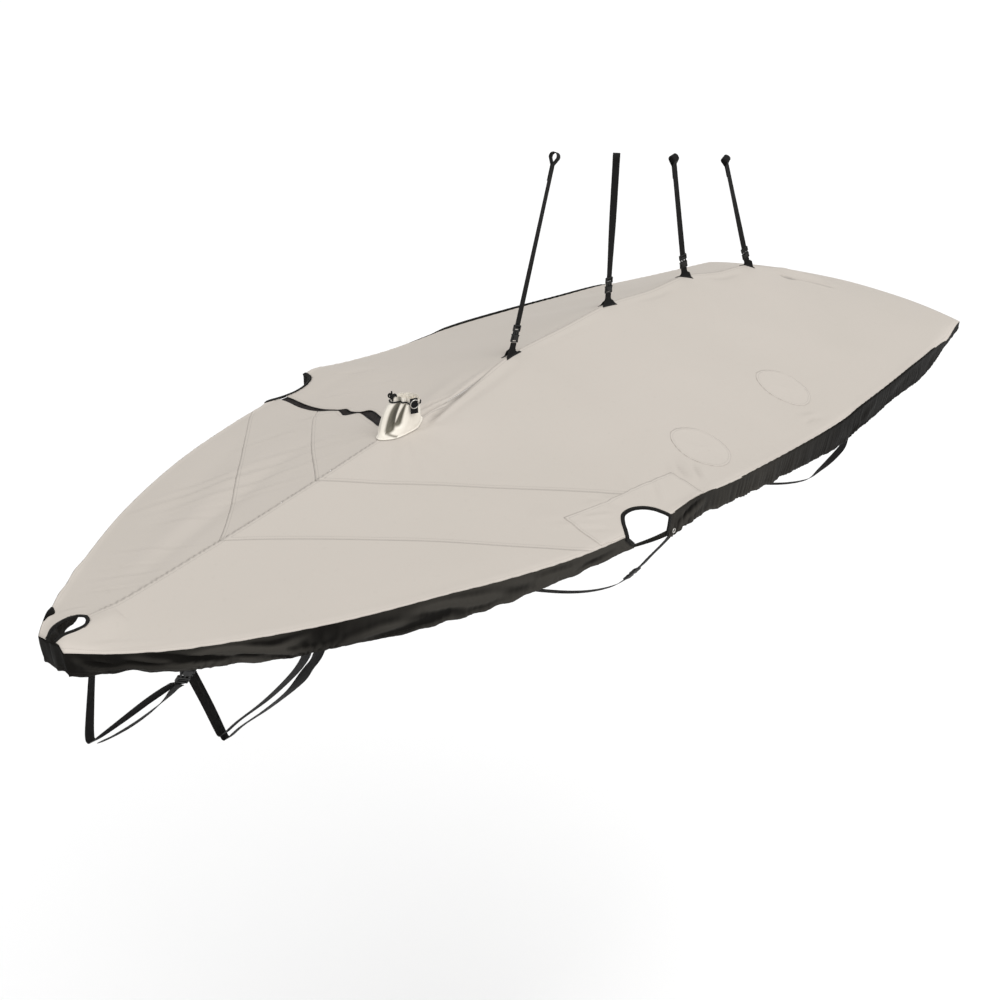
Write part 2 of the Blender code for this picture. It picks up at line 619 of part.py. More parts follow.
def collar_point(angle, share, inset, cover):
    """Place on the collar's wall, share 0 at its foot and 1 at its top edge."""
    climb = min(share / COLLAR_NECK, 1.0)
    aft_centre = COLLAR_AFT + (COLLAR_TOP_AFT - COLLAR_AFT) * climb
    ease = climb ** (CONE_EASE - BOW_EASE * max(-math.cos(angle), 0) ** 2)
    long_half = COLLAR_HALF_LENGTH + (COLLAR_TOP_RADIUS - COLLAR_HALF_LENGTH) * ease
    wide_half = COLLAR_HALF_WIDTH + (COLLAR_TOP_RADIUS - COLLAR_HALF_WIDTH) * ease
    bump = 0.0
    degrees = math.degrees(angle)
    for pleat in PLEATS:
        bump += pleat.depth * math.exp(-((degrees - pleat.angle) / pleat.width) ** 2)
    bump *= math.sin(math.pi * climb) ** 0.5 if climb < 1 else 0.0
    aft = aft_centre + (long_half + bump - inset) * math.cos(angle)
    y = (wide_half + bump - inset) * math.sin(angle)
    foot = cover.height(aft, y) + PATCH_GAP * 1.8
    return place(aft, y, foot + (COLLAR_TOP_Z - foot) * share)


def build_collar(cover, cloth, black, metal):
    around, levels = 36, 6
    outer, inner = [], []
    for i in range(around):
        angle = 2 * math.pi * i / around
        shares = [k / levels for k in range(levels + 1)]
        outer.append([collar_point(angle, share, 0.0, cover) for share in shares])
        inner.append([collar_point(angle, share, COLLAR_WALL, cover) for share in shares])
    slab("mast_collar", outer, inner, cloth, closed=True)

    cord_z = COLLAR_TOP_Z - 0.008
    cord_radius = 0.0024
    bpy.ops.mesh.primitive_torus_add(major_segments=30, minor_segments=6,
                                     major_radius=COLLAR_TOP_RADIUS + cord_radius + GAP,
                                     minor_radius=cord_radius,
                                     location=place(COLLAR_TOP_AFT, 0, cord_z))
    take(bpy.context.object, "collar_drawcord", black)
    knot_aft = COLLAR_TOP_AFT - COLLAR_TOP_RADIUS - 0.0132
    bpy.ops.mesh.primitive_uv_sphere_add(segments=10, ring_count=6, radius=KNOT_RADIUS,
                                         location=place(knot_aft, -0.004, cord_z + 0.0064))
    take(bpy.context.object, "collar_knot", black)

    # webbing tab on the port side, lapped over the collar's edge, with a ring through it
    tab_out = COLLAR_TOP_RADIUS + 2 * cord_radius + WEBBING

    def beside_mast(out, z):
        """Place on the tab's line, so far out from the mast's middle."""
        return place(COLLAR_TOP_AFT - out * math.sin(TAB_TURN), out * math.cos(TAB_TURN), z)

    path = [beside_mast(tab_out + lean, COLLAR_TOP_Z + rise)
            for lean, rise in ((-0.0006, 0.004), (0.0006, -0.010), (0.0022, -0.024), (0.0045, -0.040))]
    side = Vector((math.cos(TAB_TURN), -math.sin(TAB_TURN), 0)) * (WEBBING_WIDTH / 2)
    ribbon("collar_tab", path, [side] * len(path), black)
    bpy.ops.mesh.primitive_torus_add(major_segments=18, minor_segments=6, major_radius=0.0095,
                                     minor_radius=0.0016,
                                     location=beside_mast(tab_out + 0.0042, COLLAR_TOP_Z - 0.009),
                                     rotation=(math.radians(96), 0, -TAB_TURN))
    take(bpy.context.object, "collar_ring", metal)


def take(made, name, finish):
    """Put a primitive with the other parts under its own name."""
    made.name = name
    made.data.name = name
    made.data.materials.append(finish)
    for group in list(made.users_collection):
        group.objects.unlink(made)
    parts.objects.link(made)
    return made


# ---- skirt ----------------------------------------------------------------------------------
def gather_wave(along):
    """Uneven gathers, between about -1 and 1."""
    slow = 0.62 + 0.38 * math.sin(2 * math.pi * along / 0.61 + 0.8)
    main = math.sin(2 * math.pi * along / 0.115 + 1.4 * math.sin(2 * math.pi * along / 0.43))
    return slow * main + 0.3 * math.sin(2 * math.pi * along / 0.29 + 2.0)


def strap_calm(aft):
    """Near a strap sewn to the hem the skirt lies flat: 0 there, 1 away from it."""
    calm = 1.0
    for rows in HULL_STRAPS.values():
        calm *= 1 - math.exp(-((aft - rows[0].aft) / 0.035) ** 4)
    return calm


def skirt_top(aft, y, cover):
    """Height of the skirt's upper edge, just under the top cloth, or under the slot's binding."""
    if abs(y) < SLOT_HALF_WIDTH + BINDING_WIDTH + 0.004:
        return cover_height(aft, y) - CLOTH - (BINDING - CLOTH) / 2 - SKIRT_GAP
    return cover.edge_height(aft, y) - CLOTH - SKIRT_GAP


def skirt_depth(aft, side):
    """The hem is level on both sides, so the skirt is deeper where the edge is higher."""
    inside = min(aft, LENGTH)
    half = half_breadth(inside)
    return (smooth_value(SKIRT, inside, "aft", "depth")
            + cover_height(inside, side * half) - cover_height(inside, half))


def skirt_rows(line, side, cover):
    """Grids of the skirt's outer and inner faces, from (aft, y) places along its top edge."""
    outer, inner = [], []
    along = 0.0
    for i, (aft, y) in enumerate(line):
        a = Vector(line[max(i - 1, 0)])
        b = Vector(line[min(i + 1, len(line) - 1)])
        if i:
            along += (Vector(line[i]) - Vector(line[i - 1])).length
        run = (b - a).normalized()
        outward = Vector((run.y, -run.x)) * -side
        depth = skirt_depth(aft, side)
        tuck = smooth_value(SKIRT, aft, "aft", "tuck")
        calm = strap_calm(aft)
        wave = gather_wave(along + (0.0 if side == 1 else 0.4)) * calm
        hem = HEM_STEP * math.sin(2 * math.pi * along / 0.083 + 2.2 * math.sin(along / 0.19)) * calm
        top = skirt_top(aft, y, cover)
        scale = min(depth / 0.05, 1.0)
        outer_row, inner_row = [], []
        for share in (0.0, 0.5, 1.0):
            push = -tuck * share ** 1.6 + GATHER * wave * share * scale
            level = top - (depth + hem * scale * share) * share
            for row, inset in ((outer_row, 0.0), (inner_row, SKIRT_CLOTH)):
                at = Vector((aft, y)) + outward * (push - inset)
                row.append(place(at.x, at.y, level))
        outer.append(outer_row)
        inner.append(inner_row)
    return outer, inner


def side_line(side, start, end, step=0.033):
    count = max(int(round((end - start) / step)), 2)
    line = []
    for i in range(count + 1):
        aft = start + (end - start) * i / count
        line.append((aft, side * half_breadth(aft)))
    return line


def build_eyelet(skirt, side, aft, tag, metal):
    """Metal eyelet near the hem at the fore corner of the aft skirt, and its hole in the cloth."""
    half = half_breadth(aft)
    hem = cover_height(aft, side * half) - CLOTH - skirt_depth(aft, side)
    tuck = smooth_value(SKIRT, aft, "aft", "tuck")
    at = place(aft, side * (half - tuck * TUCK_AT_EYELET + EYELET_PROUD), hem + EYELET_ABOVE_HEM)
    upright = (math.radians(90), 0, 0)
    bpy.ops.mesh.primitive_torus_add(major_segments=16, minor_segments=6, major_radius=EYELET_RADIUS,
                                     minor_radius=EYELET_WIRE, location=at, rotation=upright)
    take(bpy.context.object, f"eyelet_{tag}", metal)
    bpy.ops.mesh.primitive_cylinder_add(vertices=12, radius=EYELET_RADIUS - EYELET_WIRE, depth=EYELET_CUT,
                                        location=at, rotation=upright)
    hole = bpy.context.object
    hole.name = f"cut_eyelet_{tag}"
    hole.hide_render = True
    hole.display_type = "WIRE"
    for collection in list(hole.users_collection):
        collection.objects.unlink(hole)
    cutters.objects.link(hole)
    cut(skirt, hole)


def build_skirt(cover, black):
    strip_gap = 0.003        # from the end of the skirt to the hem strip that runs on from it
    for side, tag in ((1, "port"), (-1, "stbd")):
        fore_end = SHROUD_OPENING[side][0].aft - 0.003
        aft_start = SHROUD_OPENING[side][-1].aft + 0.003
        nose = [(0.0, side * SEAM_GAP), (0.0, side * 0.030), (0.0, side * 0.044)]
        line = nose + side_line(side, 0.0, fore_end)
        slab(f"skirt_fore_{tag}", *skirt_rows(line, side, cover), black)
        line = side_line(side, aft_start, LENGTH - 0.004)
        skirt_aft = slab(f"skirt_aft_{tag}", *skirt_rows(line, side, cover), black)
        outer, inner = [], []
        steps = 7
        for i in range(steps + 1):
            aft = fore_end + strip_gap + (aft_start - fore_end - 2 * strip_gap) * i / steps
            depth = skirt_depth(aft, side)
            tuck = smooth_value(SKIRT, aft, "aft", "tuck")
            y = half_breadth(aft) - tuck * 0.9
            top = cover_height(aft, side * half_breadth(aft)) - CLOTH - depth + HEM_STRIP
            outer.append((place(aft, side * y, top), place(aft, side * y, top - HEM_STRIP)))
            inner.append((place(aft, side * (y - SKIRT_CLOTH), top),
                          place(aft, side * (y - SKIRT_CLOTH), top - HEM_STRIP)))
        slab(f"hem_strip_{tag}", outer, inner, black)
        build_eyelet(skirt_aft, side, aft_start + EYELET_BEHIND, tag, metal)
    half = half_breadth(LENGTH)
    outer, inner = [], []
    steps = 40
    for i in range(steps + 1):
        share = -1 + 2 * i / steps
        y = share * (half - 0.003)
        top = cover_height(LENGTH, y) - CLOTH - SKIRT_GAP
        depth = 0.030 + 0.048 * (1 - abs(share) ** 3)
        wave = gather_wave(y + 3.0) * (1 - abs(share) ** 8)
        outer_row, inner_row = [], []
        for level in (0.0, 0.5, 1.0):
            push = GATHER * wave * level - 0.010 * level ** 1.6 * (1 - abs(share) ** 8)
            outer_row.append(place(LENGTH - 0.0002 + push, y, top - depth * level))
            inner_row.append(place(LENGTH - 0.0002 + push - SKIRT_CLOTH, y, top - depth * level))
        outer.append(outer_row)
        inner.append(inner_row)
    slab("skirt_transom", outer, inner, black)


# ---- straps and buckles ---------------------------------------------------------------------
# Outline of a side-release buckle: where along it, how much of its full width and of its depth.
BuckleSection = namedtuple("BuckleSection", "along width depth")
BUCKLE = (BuckleSection(0.0, 0.86, 0.62), BuckleSection(0.05, 0.94, 0.80), BuckleSection(0.10, 1.0, 1.0),
          BuckleSection(0.44, 1.0, 1.0), BuckleSection(0.48, 0.80, 0.86), BuckleSection(0.60, 0.80, 0.86),
          BuckleSection(0.64, 0.97, 0.80), BuckleSection(0.92, 0.94, 0.74), BuckleSection(1.0, 0.84, 0.56))


def buckle(name, start, along, side, finish):
    """A closed side-release buckle, from its lower end, with its width along side."""
    out = along.cross(side).normalized()
    upper, lower = [], []
    for section in BUCKLE:
        centre = start + along * (section.along * BUCKLE_LENGTH)
        half = side * (section.width * BUCKLE_WIDTH / 2)
        rise = out * (section.depth * BUCKLE_DEPTH / 2)
        upper.append((centre - half + rise, centre + half + rise))
        lower.append((centre - half - rise, centre + half - rise))
    return slab(name, upper, lower, finish)


# The foot of a lifting strap: webbing folded round the buckle's bar, its ends sewn to the ridge.
FootPoint = namedtuple("FootPoint", "y rise width")
FOOT = (FootPoint(0.0135, 0.0000, 0.074), FootPoint(0.0070, 0.0035, 0.062), FootPoint(0.0030, 0.0100, 0.036),
        FootPoint(0.0022, 0.0180, 0.026), FootPoint(0.0022, 0.0330, 0.025), FootPoint(0.0012, 0.0352, 0.025),
        FootPoint(0.0, 0.0360, 0.025))
FOOT_LIES_TO = 0.005     # below this rise the webbing follows the cover
FOOT_CLEARANCE = 0.0020


def build_lift_foot(row, base, along, width, cover, webbing):
    """Webbing folded round the buckle's bar; its two flared ends lie on the ridge."""
    folded = FOOT + tuple(point._replace(y=-point.y) for point in FOOT[-2::-1])
    through = along.cross(width)
    grid = []
    for point in folded:
        line = []
        for share in (-1, -0.33, 0.33, 1):
            at = base + along * point.rise + width * (share * point.width / 2) + through * point.y
            on_cover = cover.height(LENGTH / 2 - at.x, at.y) + FOOT_CLEARANCE
            at.z = on_cover + point.rise if point.rise < FOOT_LIES_TO else max(at.z, on_cover + FOOT_CLEARANCE)
            line.append(at)
        grid.append(line)
    upper, lower = [], []
    for i, line in enumerate(grid):
        before, after = grid[max(i - 1, 0)], grid[min(i + 1, len(grid) - 1)]
        above, below = [], []
        for k, at in enumerate(line):
            out = (after[k] - before[k]).cross(line[-1] - line[0]).normalized() * (WEBBING / 2)
            above.append(at + out)
            below.append(at - out)
        upper.append(above)
        lower.append(below)
    slab(f"lift_foot_{row.number}", upper, lower, webbing)


def build_lift_strap(row, cover, webbing, plastic):
    base = place(row.aft, 0, smooth_value(STATIONS, row.aft, "aft", "ridge") + 0.001)
    top = place(row.top_aft, 0, row.top_z)
    along = (top - base).normalized()
    lengthwise = Vector((0, 1, 0)).cross(along).normalized()

    def turned(angle):
        return lengthwise * math.cos(angle) + along.cross(lengthwise) * math.sin(angle)

    width = turned(row.foot_turn)
    build_lift_foot(row, base, along, width, cover, webbing)

    start = base + along * (FOOT[-1].rise + WEBBING / 2 + GAP)
    buckle(f"lift_buckle_{row.number}", start, along, width, plastic)

    foot = start + along * (BUCKLE_LENGTH + GAP)
    straight = (top - foot).length
    points, turns = [], []
    twist = row.top_turn - row.foot_turn
    steps = 12 if abs(twist) > 0.5 else 5
    for i in range(steps + 1):
        points.append(foot + along * (straight * i / steps))
        turns.append(row.foot_turn + twist * smooth_step(1.15 * i / steps))

    out = along.cross(turned(row.top_turn))
    eye = foot + along * (straight + EYE_ABOVE)
    for degrees in range(-20, 201, 20):
        angle = math.radians(degrees)
        points.append(eye + (out * math.cos(angle) + along * math.sin(angle)) * EYE_RADIUS)
    lap = foot + along * straight - out * (WEBBING + 0.0006)
    points += [lap, lap - along * (EYE_LAP / 2), lap - along * EYE_LAP]
    turns += [row.top_turn] * (len(points) - len(turns))
    ribbon(f"lift_webbing_{row.number}", points,
           [turned(angle) * (WEBBING_WIDTH / 2) for angle in turns], webbing)


def strap_sides(path, twist):
    """Half-width vectors of a strap lying along the gunwale's line, turned by twist(share)."""
    sides = []
    for i, point in enumerate(path):
        run = (path[min(i + 1, len(path) - 1)] - path[max(i - 1, 0)]).normalized()
        aft = LENGTH / 2 - point.x
        flare = (half_breadth(aft + 0.01) - half_breadth(aft - 0.01)) / 0.02
        across = Vector((1, -flare * point.y / half_breadth(aft), 0))
        across = (across - run * across.dot(run)).normalized()
        angle = twist(i / (len(path) - 1))
        turned = across * math.cos(angle) + run.cross(across) * math.sin(angle)
        sides.append(turned * (WEBBING_WIDTH / 2))
    return sides


def no_twist(share):
    return 0.0


def one_turn(share):
    return 1.45 * math.exp(-((share - 0.13) / 0.055) ** 2)


def build_hull_straps(webbing, plastic):
    for key, rows in HULL_STRAPS.items():
        port = [place(row.aft, row.y, row.z) for row in rows]
        stbd = [Vector((point.x, -point.y, point.z)) for point in reversed(port[:-1])]
        path = smooth_path(port + stbd, STRAP_STEPS)
        sides = strap_sides(path, one_turn if key == "2_aft" else no_twist)
        if key not in BUCKLE_AT:
            ribbon(f"hull_strap_{key}", path, sides, webbing)
            continue
        first = BUCKLE_AT[key]
        along = (path[first + 1] - path[first]).normalized()
        ribbon(f"hull_strap_{key}_top", path[:first + 1], sides[:first + 1], webbing)
        start = path[first] + along * GAP
        buckle(f"hull_buckle_{key}", start, along, (sides[first] / (WEBBING_WIDTH / 2)), plastic)
        end = start + along * (BUCKLE_LENGTH + GAP)
        after = next(i for i in range(first, len(path)) if (path[i] - start).length > BUCKLE_LENGTH + 0.012)
        ribbon(f"hull_strap_{key}", [end] + path[after:], [sides[first]] + sides[after:], webbing)
        if key == "1":
            out = along.cross(sides[first]).normalized()
            if out.y < 0:
                out = -out
            tail = [end + along * 0.004 + out * 0.0040]
            for k in range(TAIL_STEPS + 1):
                swing = math.sin(math.pi * k / TAIL_STEPS)
                droop = 0.006 + 0.011 * swing
                tail.append(path[after + k] + Vector((-0.004 - 0.010 * swing, droop, -droop)))
            ribbon("hull_strap_1_tail", tail, strap_sides(tail, tail_twist), webbing)


def tail_twist(share):
    return -0.9 * math.sin(math.pi * share)


# ---- build ----------------------------------------------------------------------------------
for old in list(bpy.data.objects):
    bpy.data.objects.remove(old, do_unlink=True)
parts = bpy.data.collections.new("boat_cover")
cutters = bpy.data.collections.new("cutters")
bpy.context.scene.collection.children.link(parts)
bpy.context.scene.collection.children.link(cutters)

cloth = material("cover_cloth", (0.62, 0.56, 0.50), 0.85)
collar_cloth = material("collar_cloth", (0.82, 0.78, 0.70), 0.85)
black_cloth = material("skirt_cloth", (0.030, 0.027, 0.025), 0.6)
webbing = material("black_webbing", (0.012, 0.012, 0.012), 0.7)
plastic = material("black_plastic", (0.015, 0.015, 0.016), 0.4)
metal = material("steel", (0.62, 0.61, 0.58), 0.3, 1.0)

panels = build_top(cloth)
cover = Cover(panels)
build_slit_tape(webbing)
build_openings(panels, cover, webbing, cloth)
for patch_row in ROUND_PATCHES:
    round_patch(patch_row, cover, cloth)
build_collar(cover, collar_cloth, webbing, metal)
build_skirt(cover, black_cloth)
for strap_row in LIFT_STRAPS:
    build_lift_strap(strap_row, cover, webbing, plastic)
build_hull_straps(webbing, plastic)
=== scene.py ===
import math
from collections import namedtuple

import bpy
import numpy as np
from mathutils import Matrix, Vector


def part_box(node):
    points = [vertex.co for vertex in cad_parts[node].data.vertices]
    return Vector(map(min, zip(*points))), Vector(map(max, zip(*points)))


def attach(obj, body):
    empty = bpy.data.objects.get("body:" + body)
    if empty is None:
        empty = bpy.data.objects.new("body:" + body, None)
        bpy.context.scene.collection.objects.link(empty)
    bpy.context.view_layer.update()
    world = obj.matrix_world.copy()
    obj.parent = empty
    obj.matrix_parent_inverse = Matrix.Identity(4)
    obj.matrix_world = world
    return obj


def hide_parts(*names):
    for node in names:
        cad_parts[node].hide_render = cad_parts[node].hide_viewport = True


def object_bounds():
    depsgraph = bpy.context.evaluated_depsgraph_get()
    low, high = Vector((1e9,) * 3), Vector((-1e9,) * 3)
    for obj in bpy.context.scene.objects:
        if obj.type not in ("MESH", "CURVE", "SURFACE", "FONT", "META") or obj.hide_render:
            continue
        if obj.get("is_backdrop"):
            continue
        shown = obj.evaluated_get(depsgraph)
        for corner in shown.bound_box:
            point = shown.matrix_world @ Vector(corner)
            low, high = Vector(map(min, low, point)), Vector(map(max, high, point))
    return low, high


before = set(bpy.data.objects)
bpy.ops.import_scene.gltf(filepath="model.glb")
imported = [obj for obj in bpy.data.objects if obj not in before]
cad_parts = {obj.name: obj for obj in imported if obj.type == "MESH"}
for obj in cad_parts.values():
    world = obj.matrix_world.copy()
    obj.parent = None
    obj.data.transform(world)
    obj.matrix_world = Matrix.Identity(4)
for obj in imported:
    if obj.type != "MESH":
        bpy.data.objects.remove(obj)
cad_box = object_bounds()

# ---- studio -------------------------------------------------------------------------------------
# A pale floor far below without a visible edge, white light from all round, brightest low down,
# and one soft sun lamp high over the port side. The cover hangs from its straps, as in a loft.
# Places along the boat are "aft": metres from the tip of the bow.
LENGTH = 4.20
FLOOR_Z = -5.00
LIGHT_ABOVE = 0.63       # strength of the white light from all round
LIGHT_LOW = 0.42         # how much stronger it is near the horizon

studio = bpy.context.scene
studio.view_settings.view_transform = "Standard"
eye = bpy.data.objects.new("eye", bpy.data.cameras.new("eye"))
eye.data.sensor_width = 36.0
eye.data.lens = 43.2
eye.data.clip_end = 300.0
look_right = Vector((-0.62847, 0.77687, 0.03878))
look_down = Vector((0.32915, 0.31078, -0.89167))
look_ahead = Vector((-0.70476, -0.54762, -0.45102))
turn = Matrix((look_right, -look_down, -look_ahead)).transposed().to_4x4()
eye.matrix_world = Matrix.Translation((3.317, 2.2669, 1.6522)) @ turn
studio.collection.objects.link(eye)
studio.camera = eye


class Wire:
    """An output in a finish's node tree. Sums on it add Math nodes."""

    def __init__(self, tree, socket=None):
        self.tree = tree
        self.socket = socket

    def node(self, kind, settings=None, inputs=None, output=0):
        made = self.tree.nodes.new("ShaderNode" + kind)
        for key, value in (settings or {}).items():
            setattr(made, key, value)
        for key, value in (inputs or {}).items():
            if isinstance(value, Wire):
                self.tree.links.new(value.socket, made.inputs[key])
            else:
                made.inputs[key].default_value = value
        return Wire(self.tree, made.outputs[output])

    def maths(self, operation, *values):
        return self.node("Math", {"operation": operation}, dict(enumerate(values)))

    def __add__(self, other):
        return self.maths("ADD", self, other)

    __radd__ = __add__

    def __mul__(self, other):
        return self.maths("MULTIPLY", self, other)

    __rmul__ = __mul__

    def __sub__(self, other):
        return self.maths("SUBTRACT", self, other)

    def __rsub__(self, other):
        return self.maths("SUBTRACT", other, self)

    def __abs__(self):
        return self.maths("ABSOLUTE", self)

    def cycles(self, pitch):
        """A sine wave with one turn in each pitch."""
        return self.maths("SINE", self * (math.tau / pitch))

    def band(self, low, high):
        """Eases from 0 to 1 between two values."""
        return self.node("MapRange", {"interpolation_type": "SMOOTHSTEP"}, {0: self, 1: low, 2: high})

    def mix(self, share, a, b):
        """Mixes two colours, each a wire or three numbers."""
        a, b = (colour if isinstance(colour, Wire) else (*colour, 1.0) for colour in (a, b))
        return self.node("Mix", {"data_type": "RGBA"}, {0: share, 6: a, 7: b}, 2)

    def mark(self, key):
        """A number stored at the mesh's points."""
        return self.node("Attribute", {"attribute_name": key}, output="Fac")

    def place(self):
        return self.node("TexCoord", output="Object")

    def cut_axes(self):
        """Both directions of the flat cut cloth, in metres."""
        split = self.node("SeparateXYZ", {}, {0: self.node("UVMap", {"uv_map": "cut"})})
        return split, Wire(self.tree, split.socket.node.outputs[1])

    def noise(self, vector, scale, detail=3.0, stretch=(1, 1, 1)):
        stretched = self.node("Mapping", {}, {"Vector": vector, "Scale": stretch})
        return self.node("TexNoise", {}, {"Vector": stretched, "Scale": scale, "Detail": detail})

    def feed(self, shader, key):
        self.tree.links.new(self.socket, shader.inputs[key])

    def emboss(self, shader, strength):
        """Raises the surface by this height in metres."""
        bump = self.node("Bump", {}, {"Strength": strength, "Distance": 1.0, "Height": self})
        bump.feed(shader, "Normal")


surround = bpy.data.worlds.new("surround")
surround.use_nodes = True
glow = surround.node_tree.nodes["Background"]
glow.inputs["Color"].default_value = (1.0, 1.0, 1.0, 1.0)
wire = Wire(surround.node_tree)
upward = wire.node("SeparateXYZ", {}, {0: wire.node("TexCoord", output="Generated")}, 2)
(LIGHT_ABOVE + (1 - abs(upward).band(0.03, 0.30)) * LIGHT_LOW).feed(glow, "Strength")
studio.world = surround

lamp = bpy.data.objects.new("lamp", bpy.data.lights.new("lamp", "SUN"))
lamp.data.energy = 1.75
lamp.data.angle = math.radians(50)
lamp.rotation_euler = Vector((0.14, 0.52, 1.0)).to_track_quat("Z", "Y").to_euler()
studio.collection.objects.link(lamp)


def new_finish(name, roughness, **fixed):
    """A material with its shader's constant sockets set, and a wire to build on."""
    made = bpy.data.materials.new(name)
    made.use_nodes = True
    shader = made.node_tree.nodes["Principled BSDF"]
    shader.inputs["Roughness"].default_value = roughness
    for key, value in fixed.items():
        shader.inputs[key.replace("_", " ")].default_value = value
    return made, shader, Wire(made.node_tree)


bpy.ops.mesh.primitive_circle_add(vertices=64, radius=90, fill_type="NGON", location=(0, 0, FLOOR_Z))
floor = bpy.context.object
floor.name = "floor"
floor.data.materials.append(
    new_finish("floor_paint", 0.9, Base_Color=(0.94, 0.94, 0.94, 1.0), Specular_IOR_Level=0.1)[0])
floor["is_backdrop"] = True


# ---- top panels ---------------------------------------------------------------------------------
# Seven cut panels of coated polyester canvas, lap-seamed to each other with two rows of stitches
# and pulled up along the middle by the lifting straps. They are one tight, slightly wrinkled tent.
CLOTH = 0.0011           # thickness
PITCH = 0.009            # mesh spacing on the panels


def table(columns, *rows):
    """Rows of values under named columns."""
    row_kind = namedtuple("Row", columns)
    return tuple(row_kind(*row) for row in rows)


# Half the breadth at each place aft, and how high the gunwale's edge and the middle ridge lie.
STATIONS = table(
    "aft half edge ridge",
    (0.00, 0.052, 0.030, 0.036), (0.02, 0.065, 0.025, 0.058), (0.05, 0.088, 0.019, 0.061),
    (0.10, 0.131, 0.014, 0.059), (0.22, 0.230, 0.014, 0.066), (0.50, 0.420, 0.032, 0.107),
    (0.80, 0.566, 0.046, 0.152), (1.10, 0.675, 0.050, 0.203), (1.30, 0.725, 0.056, 0.222),
    (1.55, 0.770, 0.070, 0.268), (1.73, 0.788, 0.080, 0.312), (2.00, 0.801, 0.064, 0.334),
    (2.28, 0.802, 0.044, 0.361), (2.54, 0.797, 0.034, 0.348), (2.80, 0.789, 0.029, 0.354),
    (3.06, 0.775, 0.026, 0.318), (3.32, 0.757, 0.020, 0.298), (3.70, 0.721, 0.010, 0.200),
    (4.20, 0.653, 0.000, 0.067)
)
# The starboard edge lies at other heights.
STARBOARD_EDGE = table(
    "aft height",
    (0.00, 0.032), (0.02, 0.048), (0.06, 0.053), (0.22, 0.046), (0.50, 0.046), (0.80, 0.052),
    (1.15, 0.051), (1.34, 0.058), (1.48, 0.082), (1.57, 0.096), (1.65, 0.085), (1.78, 0.069),
    (2.00, 0.053), (2.40, 0.054), (2.70, 0.046), (3.05, 0.036), (3.35, 0.030), (3.75, 0.013),
    (4.20, 0.005)
)
# Soft troughs (height below zero) and ridges in the cloth, from one place to another.
FOLDS = table(
    "aft_a y_a aft_b y_b width height",
    (-0.10, 0.036, 0.17, 0.036, 0.030, 0.015), (0.25, -0.05, 1.10, -0.26, 0.035, -0.007),
    (0.30, -0.10, 1.05, -0.38, 0.040, 0.005), (0.45, -0.24, 1.10, -0.56, 0.045, -0.005),
    (1.27, 0.03, 1.72, 0.035, 0.022, -0.008), (1.28, -0.06, 1.62, -0.10, 0.030, 0.006),
    (1.56, 0.70, 1.80, 0.60, 0.035, -0.007), (1.60, 0.76, 1.92, 0.70, 0.035, 0.006),
    (1.30, 0.62, 1.20, 0.50, 0.040, 0.004), (1.34, -0.60, 1.75, -0.55, 0.040, -0.006),
    (1.50, -0.70, 1.85, -0.66, 0.035, 0.006), (2.55, 0.72, 2.80, 0.70, 0.035, 0.005),
    (3.55, 0.03, 3.86, 0.14, 0.028, -0.010), (3.58, -0.03, 3.92, 0.08, 0.035, 0.008)
)
